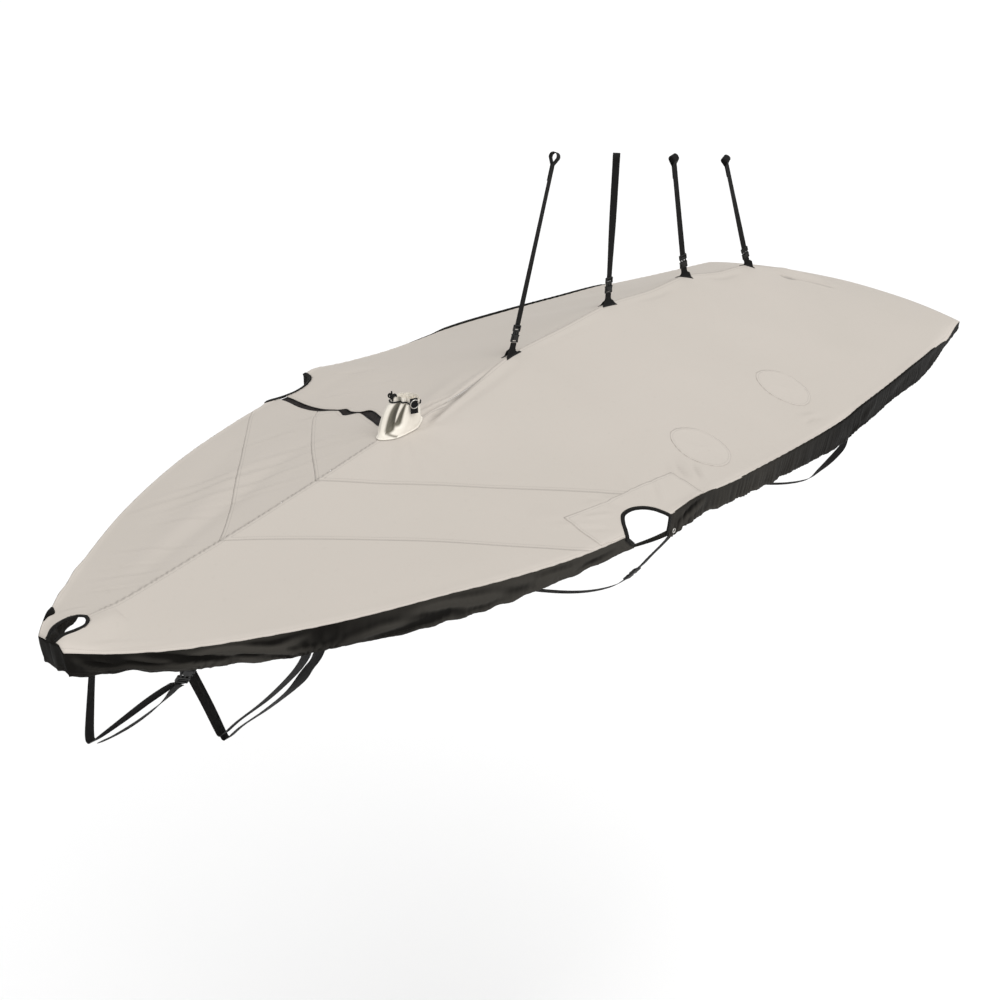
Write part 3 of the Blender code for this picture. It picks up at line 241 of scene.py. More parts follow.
# Finer pull lines and creases in the stretched cloth. bow is how far the middle stands aside.
CREASES = table(
    "aft_a y_a aft_b y_b bow width height",
    (0.42, -0.41, 1.12, -0.10, 0.012, 0.010, 0.0022), (0.48, -0.33, 1.05, -0.04, 0.010, 0.009, 0.0020),
    (0.58, -0.40, 0.95, -0.25, 0.006, 0.009, 0.0018), (0.47, -0.27, 0.62, -0.09, 0.004, 0.007, 0.0012),
    (0.66, -0.20, 0.88, -0.03, 0.006, 0.008, 0.0014), (0.90, -0.46, 1.16, -0.34, 0.008, 0.012, 0.0018),
    (0.78, -0.36, 1.14, -0.17, -0.008, 0.010, 0.0018), (0.55, -0.23, 0.80, -0.08, 0.005, 0.007, -0.0013),
    (0.19, -0.16, 0.36, 0.00, 0.004, 0.006, 0.0012), (0.15, -0.13, 0.28, 0.00, 0.004, 0.006, -0.0012),
    (0.31, -0.25, 0.48, 0.00, 0.006, 0.007, 0.0012), (0.24, -0.20, 0.40, -0.02, 0.005, 0.007, -0.0010),
    (1.14, -0.46, 1.33, -0.33, 0.006, 0.011, 0.0020), (1.36, -0.53, 1.44, -0.39, 0.004, 0.009, 0.0018),
    (1.52, -0.66, 1.62, -0.44, 0.006, 0.012, -0.0020), (1.46, -0.42, 1.56, -0.26, 0.004, 0.012, 0.0014),
    (1.276, -0.034, 1.440, 0.002, 0.006, 0.006, 0.0042),
    (1.262, -0.012, 1.44, -0.002, -0.004, 0.006, -0.0044),
    (1.268, 0.030, 1.62, 0.000, 0.008, 0.007, -0.0054), (1.27, 0.050, 1.52, 0.020, 0.006, 0.008, 0.0040),
    (1.280, 0.012, 1.46, 0.010, 0.002, 0.006, 0.0040),
    (1.30, -0.052, 1.46, -0.016, 0.004, 0.007, -0.0034), (1.17, 0.045, 1.32, 0.068, 0.006, 0.009, 0.0016),
    (1.44, -0.030, 1.66, -0.012, 0.004, 0.010, 0.0022),
    (1.756, 0.622, 1.700, 0.716, 0.003, 0.007, -0.0026),
    (1.784, 0.640, 1.712, 0.735, 0.004, 0.007, 0.0026),
    (1.806, 0.655, 1.742, 0.738, 0.003, 0.007, -0.0024),
    (1.730, 0.618, 1.668, 0.690, 0.002, 0.008, 0.0018), (2.43, 0.735, 2.59, 0.745, 0.004, 0.009, -0.0024),
    (2.46, 0.712, 2.57, 0.724, 0.003, 0.009, 0.0020), (1.35, 0.570, 1.50, 0.640, 0.005, 0.010, 0.0014),
    (3.500, 0.064, 3.640, 0.084, -0.012, 0.014, -0.0080),
    (3.570, 0.066, 3.810, 0.206, 0.010, 0.017, -0.0072),
    (3.580, 0.106, 3.77, 0.224, 0.008, 0.013, 0.0028),
    (1.262, 0.628, 1.335, 0.690, 0.004, 0.009, -0.0016),
    (1.300, 0.600, 1.395, 0.655, 0.003, 0.009, 0.0016),
    (1.400, 0.560, 1.440, 0.660, 0.004, 0.010, -0.0014),
    (1.560, 0.560, 1.500, 0.680, -0.004, 0.010, 0.0016),
    (1.640, 0.600, 1.530, 0.720, 0.004, 0.009, -0.0018), (1.20, 0.560, 1.31, 0.640, 0.003, 0.011, 0.0012),
    (3.78, 0.385, 3.83, 0.520, 0.004, 0.012, 0.0014), (1.80, 0.02, 2.22, 0.03, -0.006, 0.016, -0.0016),
    (2.34, 0.02, 2.76, 0.03, -0.010, 0.018, -0.0020), (2.86, 0.02, 3.28, 0.03, -0.012, 0.018, -0.0022),
    (1.80, -0.02, 2.22, -0.03, 0.006, 0.018, -0.0018), (2.34, -0.02, 2.76, -0.03, 0.010, 0.020, -0.0020),
    (2.86, -0.02, 3.28, -0.03, 0.012, 0.020, -0.0024), (0.07, -0.070, 0.13, -0.036, 0.002, 0.006, 0.0014),
    (0.03, 0.060, 0.12, 0.105, 0.002, 0.006, 0.0012), (0.06, 0.080, 0.20, 0.190, 0.002, 0.006, -0.0010)
)
CREASE_GAIN = 1.6
# Long slack waves over the whole cloth: radians per metre aft and across, strength, shift.
SLACK = table(
    "aft y strength shift",
    (7.3, 4.1, 1.0, 0.4), (4.7, -8.9, 1.0, 1.9), (15.1, 9.7, 0.6, 2.2), (11.0, -17.3, 0.5, 0.7)
)
SLACK_HEIGHT = 0.0010
# Seams in plan: v is the share of the half-breadth out from the ridge.
FORE_SEAM = table(
    "v aft",
    (0.0, 0.504), (0.37, 0.715), (0.69, 0.945), (0.94, 1.160), (1.0, 1.222)
)
AFT_SEAM = {
    1: table(
        "v aft",
        (0.0, 0.850), (0.27, 1.018), (0.60, 1.307), (0.80, 1.480), (1.0, 1.640)
    ),
    -1: table(
        "v aft",
        (0.0, 0.850), (0.28, 1.003), (0.48, 1.145), (0.58, 1.228), (0.62, 1.278), (0.68, 1.360),
        (1.0, 1.600)
    ),
}
SEAM_MEETS_SLIT = 0.62   # v where the starboard seam ends at the slit
SLIT = table(
    "v fore aft",
    (0.0, 1.180, 1.196), (0.12, 1.196, 1.240), (0.21, 1.233, 1.273), (0.29, 1.264, 1.307),
    (0.34, 1.284, 1.318), (0.375, 1.291, 1.302), (0.43, 1.266, 1.301), (0.48, 1.286, 1.315),
    (0.53, 1.298, 1.307), (0.62, 1.281, 1.303), (0.75, 1.292, 1.320), (0.90, 1.327, 1.354),
    (1.0, 1.347, 1.372)
)
SHROUD_OPENING = {
    1: table(
        "aft inboard",
        (1.340, 0.0), (1.358, 0.022), (1.382, 0.052), (1.412, 0.078), (1.450, 0.084), (1.484, 0.072),
        (1.508, 0.048), (1.517, 0.022), (1.518, 0.0)
    ),
    -1: table(
        "aft inboard",
        (1.296, 0.0), (1.328, 0.020), (1.362, 0.038), (1.396, 0.060), (1.436, 0.070), (1.476, 0.062),
        (1.504, 0.042), (1.516, 0.020), (1.518, 0.0)
    ),
}
# Along each gunwale the edge rises over the boat's rim, or hangs over it where rim is below zero,
# and the skirt's black cloth laps that far inboard over the canvas. A lap of 2 mm is sewn under it.
RIMS = {
    1: table(
        "aft rim lap",
        (0.00, 0.000, 0.002), (0.45, 0.000, 0.002), (0.78, 0.003, 0.003), (0.92, 0.000, 0.002),
        (1.30, -0.001, 0.002), (1.52, 0.003, 0.003), (1.62, 0.010, 0.004), (1.69, 0.006, 0.004),
        (1.76, 0.002, 0.003), (1.86, 0.000, 0.003), (1.98, 0.001, 0.004), (2.28, 0.003, 0.005),
        (2.46, 0.000, 0.004), (2.68, -0.003, 0.004), (2.79, 0.004, 0.005), (3.06, 0.004, 0.005),
        (3.36, 0.005, 0.006), (3.54, 0.003, 0.005), (3.66, 0.001, 0.005), (3.74, -0.001, 0.003),
        (3.84, -0.009, 0.002), (3.90, -0.017, 0.002), (3.96, -0.028, 0.002), (4.02, -0.024, 0.002),
        (4.08, -0.009, 0.002), (4.14, 0.000, 0.002), (4.20, 0.000, 0.002)
    ),
    -1: table(
        "aft rim lap",
        (0.00, 0.000, 0.002), (0.03, 0.002, 0.004), (0.05, 0.006, 0.018), (0.08, 0.000, 0.002),
        (0.12, 0.005, 0.002), (0.17, 0.000, 0.002), (0.22, 0.005, 0.002), (0.28, 0.000, 0.002),
        (1.26, 0.000, 0.002), (1.32, 0.006, 0.002), (1.40, 0.010, 0.002), (1.50, 0.006, 0.002),
        (1.60, 0.000, 0.002), (1.95, 0.000, 0.002), (2.22, 0.003, 0.006), (2.32, 0.011, 0.017),
        (3.00, 0.011, 0.017), (3.34, 0.009, 0.014), (3.44, 0.001, 0.003), (3.52, 0.000, 0.002),
        (4.20, 0.000, 0.002)
    ),
}
RIM_WIDTH = 0.020        # how far inboard the cloth still follows its edge
TENT_SAG = 0.035         # share of the ridge's height that the cloth hangs below a straight line
ARCH_FROM = 3.35         # aft of here the tent rounds into an arch over the stern
PUCKER_HEIGHT = 0.0009
ROUGH_PITCH = 0.019      # the drawn-up ridge seam forward of the mast
ROUGH_HEIGHT = 0.0011
SLOT_HALF_WIDTH = 0.034
SLOT_END = 0.101
SLOT_MOUTH = 0.021       # half its width at the tip of the bow
COLLAR_AFT = 1.1955
COLLAR_HALF_LENGTH = 0.091
COLLAR_HALF_WIDTH = 0.0345


def curve(rows, places, value, key="aft"):
    """A column's values between the rows of a table, eased, for an array of places."""
    at = np.array([getattr(row, key) for row in rows])
    values = np.array([getattr(row, value) for row in rows])
    places = np.clip(places, at[0], at[-1])
    i = np.clip(np.searchsorted(at, places, side="right") - 1, 0, len(at) - 2)
    low, high = np.arange(len(at)) - 1, np.arange(len(at)) + 1
    low, high = np.maximum(low, 0), np.minimum(high, len(at) - 1)
    slope = (values[high] - values[low]) / (at[high] - at[low])
    span = at[i + 1] - at[i]
    t = (places - at[i]) / span
    return ((2 * t ** 3 - 3 * t ** 2 + 1) * values[i] + (t ** 3 - 2 * t ** 2 + t) * span * slope[i]
            + (3 * t ** 2 - 2 * t ** 3) * values[i + 1] + (t ** 3 - t ** 2) * span * slope[i + 1])


def half_breadth(aft):
    return curve(STATIONS, aft, "half")


def smooth_step(value):
    value = np.clip(value, 0.0, 1.0)
    return value * value * (3 - 2 * value)


def ripple(run, pitch, shift=0.0):
    """A sine wave along a run in metres."""
    return np.sin(math.tau * run / pitch + shift)


def bell(distance, width, power=2):
    """1 at a line, falling away to both sides."""
    return np.exp(-(distance / width) ** power)


def cover_height(aft, y):
    """Height of the tent's upper face before its finer creases."""
    inside = np.clip(aft, 0.0, LENGTH)
    edge = np.where(y < 0, curve(STARBOARD_EDGE, inside, "height"), curve(STATIONS, inside, "edge"))
    ridge = curve(STATIONS, inside, "ridge")
    v = np.abs(y) / half_breadth(inside)
    near = np.minimum(v, 1.0)
    tent = 1 - v - TENT_SAG * 4 * near * (1 - near)
    arch = 1 - v ** 2.2
    rise = tent + (arch - tent) * smooth_step((inside - ARCH_FROM) / (LENGTH - ARCH_FROM))
    folds = np.zeros_like(v)
    for fold in FOLDS:
        run = np.array((fold.aft_b - fold.aft_a, fold.y_b - fold.y_a))
        t = np.clip(((inside - fold.aft_a) * run[0] + (y - fold.y_a) * run[1]) / run.dot(run), 0, 1)
        across = np.hypot(inside - fold.aft_a - t * run[0], y - fold.y_a - t * run[1])
        folds += fold.height * np.sin(math.pi * t) ** 0.5 * bell(across, fold.width)
    return edge + (ridge - edge) * rise + folds * smooth_step(2.5 * (1 - near))


def rim(aft, side):
    return curve(RIMS[side], aft, "rim")


def crease_lines(aft, y):
    """Relief of the creases in the table alone."""
    total = np.zeros_like(aft * y)
    for crease in CREASES:
        run = np.array((crease.aft_b - crease.aft_a, crease.y_b - crease.y_a))
        length = math.hypot(*run)
        t = ((aft - crease.aft_a) * run[0] + (y - crease.y_a) * run[1]) / length ** 2
        across = ((aft - crease.aft_a) * run[1] - (y - crease.y_a) * run[0]) / length
        inside = (t > 0) & (t < 1)
        t = np.clip(t, 0, 1)
        across = across - crease.bow * 4 * t * (1 - t)
        wide = across / crease.width
        shape = bell(wide, 1) - 0.45 * bell(wide - 2.0, 1.2)
        total += np.where(inside, CREASE_GAIN * crease.height * np.sin(math.pi * t) ** 0.8 * shape, 0.0)
    return total


def rough_part(aft):
    """Where the ridge seam is rough: from the forestay slot to the mast collar."""
    return smooth_step((aft - 0.11) / 0.05) * (aft < 1.09)


def creases(aft, y):
    """The fine relief of the stretched cloth: creases, puckers along the sewn edge, slack."""
    total = crease_lines(aft, y)
    half = half_breadth(aft)
    inboard = np.maximum(half - np.abs(y), 0.0)
    side = np.sign(y)
    pucker = (ripple(aft, 0.047, 1.7 * np.sin(aft * 9.0 + side))
              + 0.6 * ripple(aft, 0.029, 2.0 * np.sin(aft * 5.0 + 2 * side)))
    strength = 0.45 + 0.55 * np.sin(aft * 3.1 + 1.3 * side) ** 2
    total += PUCKER_HEIGHT * strength * pucker * bell(inboard, 0.022, 1.5) * smooth_step(aft / 0.2)
    total += np.where(y < 0, rim(aft, -1), rim(aft, 1)) * bell(inboard, RIM_WIDTH)
    rough = ripple(aft, ROUGH_PITCH, 2 * np.sin(aft * 41)) + 0.7 * ripple(aft, 0.0117)
    total += ROUGH_HEIGHT * rough * bell(y, 0.010) * rough_part(aft)
    reach = np.hypot((aft - COLLAR_AFT) * 0.75, y)
    angle = np.arctan2(y, aft - COLLAR_AFT)
    total += (ROUGH_HEIGHT * np.sin(11 * angle + 1.5 * np.sin(3 * angle)) * bell(reach - 0.12, 0.09)
              * smooth_step((reach - 0.05) / 0.05))
    slack = sum(wave.strength * np.sin(aft * wave.aft + y * wave.y + wave.shift) for wave in SLACK)
    return total + SLACK_HEIGHT * slack * smooth_step(inboard / 0.10)


def ridge_shade(aft, y):
    """Broken shade along the rough ridge seam forward of the mast."""
    broken = 0.5 + 0.5 * ripple(aft, ROUGH_PITCH, 2 * np.sin(aft * 41) + 1.2)
    return 0.75 * broken * bell(y - 0.001, 0.0042) * rough_part(aft)


def surface(aft, y):
    """Height of the finished cloth."""
    aft, y = np.asarray(aft, float), np.asarray(y, float)
    return cover_height(aft, y) + creases(aft, y)


def stack(aft, y, z):
    """Points in the frame from arrays of places."""
    aft, y, z = np.broadcast_arrays(aft, y, z)
    return np.stack((LENGTH / 2 - aft, y, z), axis=-1)


def pairs(a, b):
    return np.stack(np.broadcast_arrays(a, b), axis=-1)


def run_along(points):
    """Distance along a line of points."""
    return np.concatenate(([0.0], np.cumsum(np.linalg.norm(np.diff(points, axis=0), axis=1))))


def unit(vectors):
    return vectors / np.maximum(np.linalg.norm(vectors, axis=-1, keepdims=True), 1e-12)


def opening_outline(side, steps=8):
    """Plan of a shroud opening, from its fore corner round to its aft one."""
    rows = table("place aft inboard", *((i, *row) for i, row in enumerate(SHROUD_OPENING[side])))
    share = np.linspace(0, len(rows) - 1, steps * (len(rows) - 1) + 1)
    aft = curve(rows, share, "aft", "place")
    inboard = np.maximum(curve(rows, share, "inboard", "place"), 0.0)
    return pairs(aft, side * (half_breadth(aft) - inboard))


def slot_outline(steps=28):
    """Plan of the forestay slot, from its starboard mouth round its aft end to port."""
    centre = SLOT_END - SLOT_HALF_WIDTH
    mouth = [(aft, -SLOT_MOUTH - (SLOT_HALF_WIDTH - SLOT_MOUTH) * math.sin(math.pi / 2 * aft / centre))
             for aft in np.linspace(0.0, centre, 12, endpoint=False)]
    round_end = [(centre + SLOT_HALF_WIDTH * math.cos(a), SLOT_HALF_WIDTH * math.sin(a))
                 for a in np.linspace(-math.pi / 2, math.pi / 2, steps + 1)]
    return np.array(mouth + round_end + [(aft, -y) for aft, y in reversed(mouth)])


def distance_to(line, aft, y):
    """Distance from places to a line of points in plan, the nearest place on it and its run there."""
    best = np.full(np.shape(aft), 1e9)
    near = pairs(aft, y).astype(float)
    run_there = np.zeros(np.shape(aft))
    run = 0.0
    for a, b in zip(line[:-1], line[1:]):
        step = b - a
        size = math.hypot(*step)
        t = np.clip(((aft - a[0]) * step[0] + (y - a[1]) * step[1]) / max(size, 1e-9) ** 2, 0, 1)
        at = a + t[..., None] * step
        gap = np.hypot(aft - at[..., 0], y - at[..., 1])
        closer = gap < best
        best = np.where(closer, gap, best)
        near = np.where(closer[..., None], at, near)
        run_there = np.where(closer, run + t * size, run_there)
        run += size
    return best, near, run_there


def inside_outline(line, aft, y):
    """Which places lie inside a closed outline in plan."""
    odd = np.zeros(np.shape(aft), bool)
    for a, b in zip(line, np.roll(line, -1, axis=0)):
        crosses = (a[1] > y) != (b[1] > y)
        with np.errstate(divide="ignore", invalid="ignore"):
            odd ^= crosses & (aft < (b[0] - a[0]) * (y - a[1]) / (b[1] - a[1]) + a[0])
    return odd


def add_piece(name, points, faces, smooth, finish, node, places):
    """A mesh on the cover's body, standing for a solid. places lie in the flat cut cloth."""
    mesh = bpy.data.meshes.new(name)
    mesh.from_pydata(points, [], faces)
    mesh.polygons.foreach_set("use_smooth", smooth)
    if places is not None:
        layer = mesh.uv_layers.new(name="cut")
        corner = np.empty(len(mesh.loops), np.int32)
        mesh.loops.foreach_get("vertex_index", corner)
        layer.data.foreach_set("uv", places.astype(np.float32)[corner].reshape(-1))
    mesh.materials.append(finish)
    made = bpy.data.objects.new(name, mesh)
    bpy.context.scene.collection.objects.link(made)
    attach(made, "root")
    if node:
        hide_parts(node)
    return made


def sew(name, node, top, thickness, finish, facing, flat, marks,
        held=None, keep=None, around=False):
    """A sheet of cloth from a grid of points on its outer face, given its thickness and closed edges.

    facing is the way its outer face looks; flat holds its places in the cut cloth; marks are
    numbers at the points, for the finish; keep marks the cells that stay; around joins the last
    row to the first; held, when given, only has the flat cloth's size worked out, which nothing uses.
    """
    rows, columns = top.shape[:2]
    if around:
        along = np.roll(top, -1, axis=0) - np.roll(top, 1, axis=0)
    else:
        along = np.gradient(top, axis=0)
    out = unit(np.cross(along, np.gradient(top, axis=1)))
    turned = np.sum(out * facing) < 0
    if turned:
        out = -out
    points = np.concatenate((top.reshape(-1, 3), (top - out * thickness).reshape(-1, 3)))
    index = np.arange(rows * columns).reshape(rows, columns)
    after = np.roll(index, -1, axis=0) if around else index[1:]
    before = index if around else index[:-1]
    cells = np.stack((before[:, :-1], after[:, :-1], after[:, 1:], before[:, 1:]), axis=-1)
    cells = cells[keep] if keep is not None else cells.reshape(-1, 4)
    if turned:
        cells = cells[:, ::-1]
    edges = np.concatenate([cells[:, [k, (k + 1) % 4]] for k in range(4)])
    _, which, count = np.unique(np.sort(edges, axis=1), axis=0, return_inverse=True, return_counts=True)
    rim_edges = edges[count[which.reshape(-1)] == 1]
    offset = rows * columns
    a, b = rim_edges.T
    rim_faces = np.stack((b, a, a + offset, b + offset), axis=-1)
    faces = np.concatenate((cells, cells[:, ::-1] + offset, rim_faces))
    used, faces_used = np.unique(faces, return_inverse=True)
    faces_used = faces_used.reshape(faces.shape)
    smooth = np.arange(len(faces)) < 2 * len(cells)
    places = np.tile(flat.reshape(-1, 2), (2, 1))[used]
    made = add_piece(name, points[used].tolist(), faces_used.tolist(), smooth, finish, node, places)
    for key, values in marks.items():
        values = np.tile(np.broadcast_to(values, (rows, columns)).reshape(-1), 2).astype(np.float32)
        layer = made.data.attributes.new(key, "FLOAT", "POINT")
        layer.data.foreach_set("value", values[used])
    if held:
        size, area = cut_size(top, flat, keep, around)
    return made


def cut_size(top, flat, keep, around):
    """Width, length and area of the flat cloth that a grid of points stands for."""
    rows = np.concatenate((top, top[:1])) if around else top
    a, b = rows[1:, :-1] - rows[:-1, :-1], rows[:-1, 1:] - rows[:-1, :-1]
    c, d = rows[1:, 1:] - rows[:-1, 1:], rows[1:, 1:] - rows[1:, :-1]
    cell = (np.linalg.norm(np.cross(a, b), axis=-1) + np.linalg.norm(np.cross(c, d), axis=-1)) / 2
    area = float(cell[keep].sum() if keep is not None else cell.sum())
    places = flat.reshape(-1, 2) - flat.reshape(-1, 2).mean(axis=0)
    places = places @ np.linalg.svd(places, full_matrices=False)[2].T
    length, width = (float(extent) for extent in np.ptp(places, axis=0))
    grow = max(math.sqrt(area / (width * length)), 1.0)
    width, length = round(width * grow + 0.0006, 3), round(length * grow + 0.0006, 3)
    return (width, length), round(area, 4)


def stitches(gap, run, place, pitch=0.0042):
    """Mask of one row of stitches at a distance from an edge."""
    row = 1 - abs(gap - place).band(0.0003, 0.0010)
    return row * run.cycles(pitch).band(-0.75, -0.3)


def tint(colour, by):
    return tuple(min(by * c, 1.0) for c in colour)


def canvas(name, colour, darker, worn=0.0):
    """Coated canvas: fine plain weave, sewn laps with two rows of stitches, faint uneven dye, painted shade
    in the crease troughs and a painted highlight along the gunwale edge.

    worn is how much of the sewing has sunk into the cloth and no longer shows.
    """
    made, shader, wire = new_finish(name, 0.72, Specular_IOR_Level=0.28)
    place = wire.place()
    across, along = wire.cut_axes()
    gap, run = wire.mark("gap"), wire.mark("run")
    row = wire.maths("MAXIMUM", stitches(gap, run, 0.0030), stitches(gap, run, 0.0105))
    lap = 1 - gap.band(0.0122, 0.0136)
    line = 1 - gap.band(0.0002, 0.0016)
    weave = across.cycles(THREAD) * along.cycles(THREAD)
    cloud = wire.noise(place, 2.2, 4.0)
    speck = wire.noise(place, 60.0, 2.0)
    tone = wire.mix((cloud - 0.5) * 0.9 + 0.5, darker, colour)
    tone = wire.mix(speck.band(0.62, 0.75) * 0.10, tone, DUST)
    shown = wire.noise(place, 17.0, 2.0).band(worn - 0.02, worn + 0.22)
    sewing = wire.maths("MAXIMUM", line * 0.52, row * 0.42) * shown
    tone = wire.mix(sewing, tone, tint(colour, 0.42))
    # painted shade: darker where the creases sink lowest and along the rough ridge seam (the deep mark)
    tone = wire.mix(wire.mark("deep") * 0.55, tone, tint(colour, 0.40))
    # painted highlight: the canvas is lighter within 30 mm of the gunwale, where it rounds over the edge and
    # catches the light
    painted_light = 1 - wire.mark("inboard").band(0.0, 0.030)
    wire.mix(painted_light * 0.45, tone, tint(colour, 1.22)).feed(shader, "Base Color")
    (0.70 + cloud * 0.10).feed(shader, "Roughness")
    drape = wire.noise(place, 9.0, 5.0, (1.0, 1.6, 1.0))
    height = weave * 0.00004 + lap * 0.0006 - row * 0.0005 - line * 0.0004 + drape * 0.0016
    height.emboss(shader, 0.55)
    return made


THREAD = 0.0011          # from one thread of the weave to the next but one
DUST = (0.42, 0.39, 0.34)
cover_canvas = canvas("cover_canvas", (0.545, 0.499, 0.452), (0.506, 0.466, 0.417))

openings = {side: opening_outline(side) for side in (1, -1)}
slot = slot_outline()


def seam_edge(rows, value="aft"):
    return lambda v: curve(rows, v, value, "v")


def top_panel(name, node, side, fore_edge, aft_edge, shares, laps, opening=False):
    """One cut panel between two lines from the ridge to the gunwale, trimmed round the openings."""
    edge_long = aft_edge(shares) - fore_edge(shares)
    steps = max(int(edge_long.max() / PITCH), 6)
    share = np.linspace(0, 1, steps + 1)[:, None]
    if edge_long.max() > LONG_PANEL:
        share = share ** 1.25
    aft = fore_edge(shares)[None, :] + edge_long[None, :] * share
    y = side * np.maximum(shares[None, :] * half_breadth(aft), RIDGE_GAP)
    gone = np.zeros(aft.shape, bool)
    trims = [(slot, np.array([(-0.2, SLOT_MOUTH), (-0.2, -SLOT_MOUTH)]))]
    if opening:
        ends = openings[side][[-1, 0], 0]
        trims.append((openings[side], np.array([(ends[0], side * 1.2), (ends[1], side * 1.2)])))
    for line, beyond in trims:
        if aft.min() > line[:, 0].max() + 0.02:
            continue
        gone |= inside_outline(np.concatenate((line, beyond)), aft, y)
        gap, near, _ = distance_to(line, aft, y)
        ring = np.zeros_like(gone)
        ring[1:] |= gone[:-1]
        ring[:-1] |= gone[1:]
        ring[:, 1:] |= gone[:, :-1]
        ring[:, :-1] |= gone[:, 1:]
        pull = ring & ~gone & (gap < 1.2 * PITCH)
        aft = np.where(pull, near[..., 0], aft)
        y = np.where(pull, near[..., 1], y)
    foot = np.hypot((aft - COLLAR_AFT) / (COLLAR_HALF_LENGTH - 0.010), y / (COLLAR_HALF_WIDTH - 0.008))
    gone |= foot < 1
    keep = ~(gone[:-1, :-1] | gone[1:, :-1] | gone[1:, 1:] | gone[:-1, 1:])
    inboard = half_breadth(aft) - np.abs(y)
    gap, run = np.full(aft.shape, FAR_FROM_SEAM), aft.copy()
    for which in laps:
        if which == "ridge":
            found, along = np.abs(y), aft
        elif which == "gunwale":
            found, along = inboard, aft * 1.08
        else:
            edge = (fore_edge if which == "fore" else aft_edge)(shares)
            found, _, along = distance_to(pairs(edge, side * shares * half_breadth(edge)), aft, y)
        closer = found < gap
        gap, run = np.where(closer, found, gap), np.where(closer, along, run)
    # deep is painted shade: how far a place lies down in a crease trough, plus the rough ridge seam's broken
    # shade
    deep = np.clip((-crease_lines(aft, y) - 0.002) / 0.006, 0, 1.7) + ridge_shade(aft, y)
    return sew(name, node, stack(aft, y, surface(aft, y)), CLOTH, cover_canvas, (0, 0, 1),
               pairs(y, aft), {"gap": gap, "run": run, "inboard": inboard, "deep": deep},
               held="stretched", keep=keep)


def spread(stop=1.0, wide=0.80):
    """Shares of the half-breadth for a panel's mesh lines, closer at the ridge and the gunwale."""
    count = int((stop - NEAR_RIDGE[-1]) * wide / PITCH)
    line = np.concatenate((NEAR_RIDGE, np.linspace(NEAR_RIDGE[-1], stop, count + 1)[1:]))
    if stop == 1.0:
        line = np.concatenate((line[:-1], NEAR_GUNWALE))
    return np.unique(line)


def bow_tip(v):
    return v * 0


def stern(v):
    return v * 0 + LENGTH


RIDGE_GAP = 0.00025      # half the gap between the panels along the ridge
LONG_PANEL = 2           # a panel longer than this has its mesh lines closer towards the bow
FAR_FROM_SEAM = 0.05     # mark of cloth that no seam is near
NEAR_RIDGE = (0, 0.003, 0.007, 0.012, 0.018, 0.025, 0.032, 0.039, 0.046, 0.053, 0.061, 0.070)
NEAR_GUNWALE = (0.977, 0.984, 0.991, 0.9965, 1.0)
SIDES = ((1, "port"), (-1, "stbd"))
fore_seam = seam_edge(FORE_SEAM)
port_seam, stbd_seam = seam_edge(AFT_SEAM[1]), seam_edge(AFT_SEAM[-1])
slit_fore, slit_aft = seam_edge(SLIT, "fore"), seam_edge(SLIT, "aft")


def seam_or_slit(v):
    return np.minimum(stbd_seam(v), slit_fore(v))


for side, tag in SIDES:
    bow_laps = ("ridge", "gunwale") if side == 1 else ("gunwale",)
    top_panel(f"cover_bow_{tag}", f"top_bow_{tag}", side, bow_tip, fore_seam, spread(wide=0.62), bow_laps)
    top_panel(f"cover_fore_{tag}", f"top_fore_{tag}", side, fore_seam,
              port_seam if side == 1 else seam_or_slit, spread(wide=0.70), bow_laps + ("fore",), opening=True)
top_panel("cover_main_port", "top_main_port", 1, port_seam, stern, spread(),
          ("ridge", "gunwale", "fore", "aft"))
top_panel("cover_mid_stbd", "top_mid_stbd", -1, stbd_seam, slit_fore,
          spread(SEAM_MEETS_SLIT, 0.75), ("fore", "aft"))
top_panel("cover_main_stbd", "top_main_stbd", -1, slit_aft, stern, spread(),
          ("gunwale", "fore", "aft"), opening=True)


# ---- wear patches -------------------------------------------------------------------------------
# A second layer of the same canvas where gear chafes: two round patches on the port side and one
# round the port shroud opening, turned under and stitched near their edges.
PATCH_RISE = 0.0013      # how far a patch's face stands above the cover's
PATCH_CLOTH = 0.0009
EDGE_DIP, EDGE_WIDTH = 0.0006, 0.0012      # its stitched edge is drawn down

patch_canvas = canvas("patch_canvas", (0.550, 0.505, 0.457), (0.520, 0.478, 0.430), worn=0.34)


def wear_patch(name, node, aft, y, gap, lift, marks):
    """A patch over a grid of places; gap is the distance from its edge."""
    height = surface(aft, y) + PATCH_RISE + lift - EDGE_DIP * bell(gap, EDGE_WIDTH)
    sew(name, node, stack(aft, y, height), PATCH_CLOTH, patch_canvas, (0, 0, 1),
        pairs(y, aft), marks, held="laid")


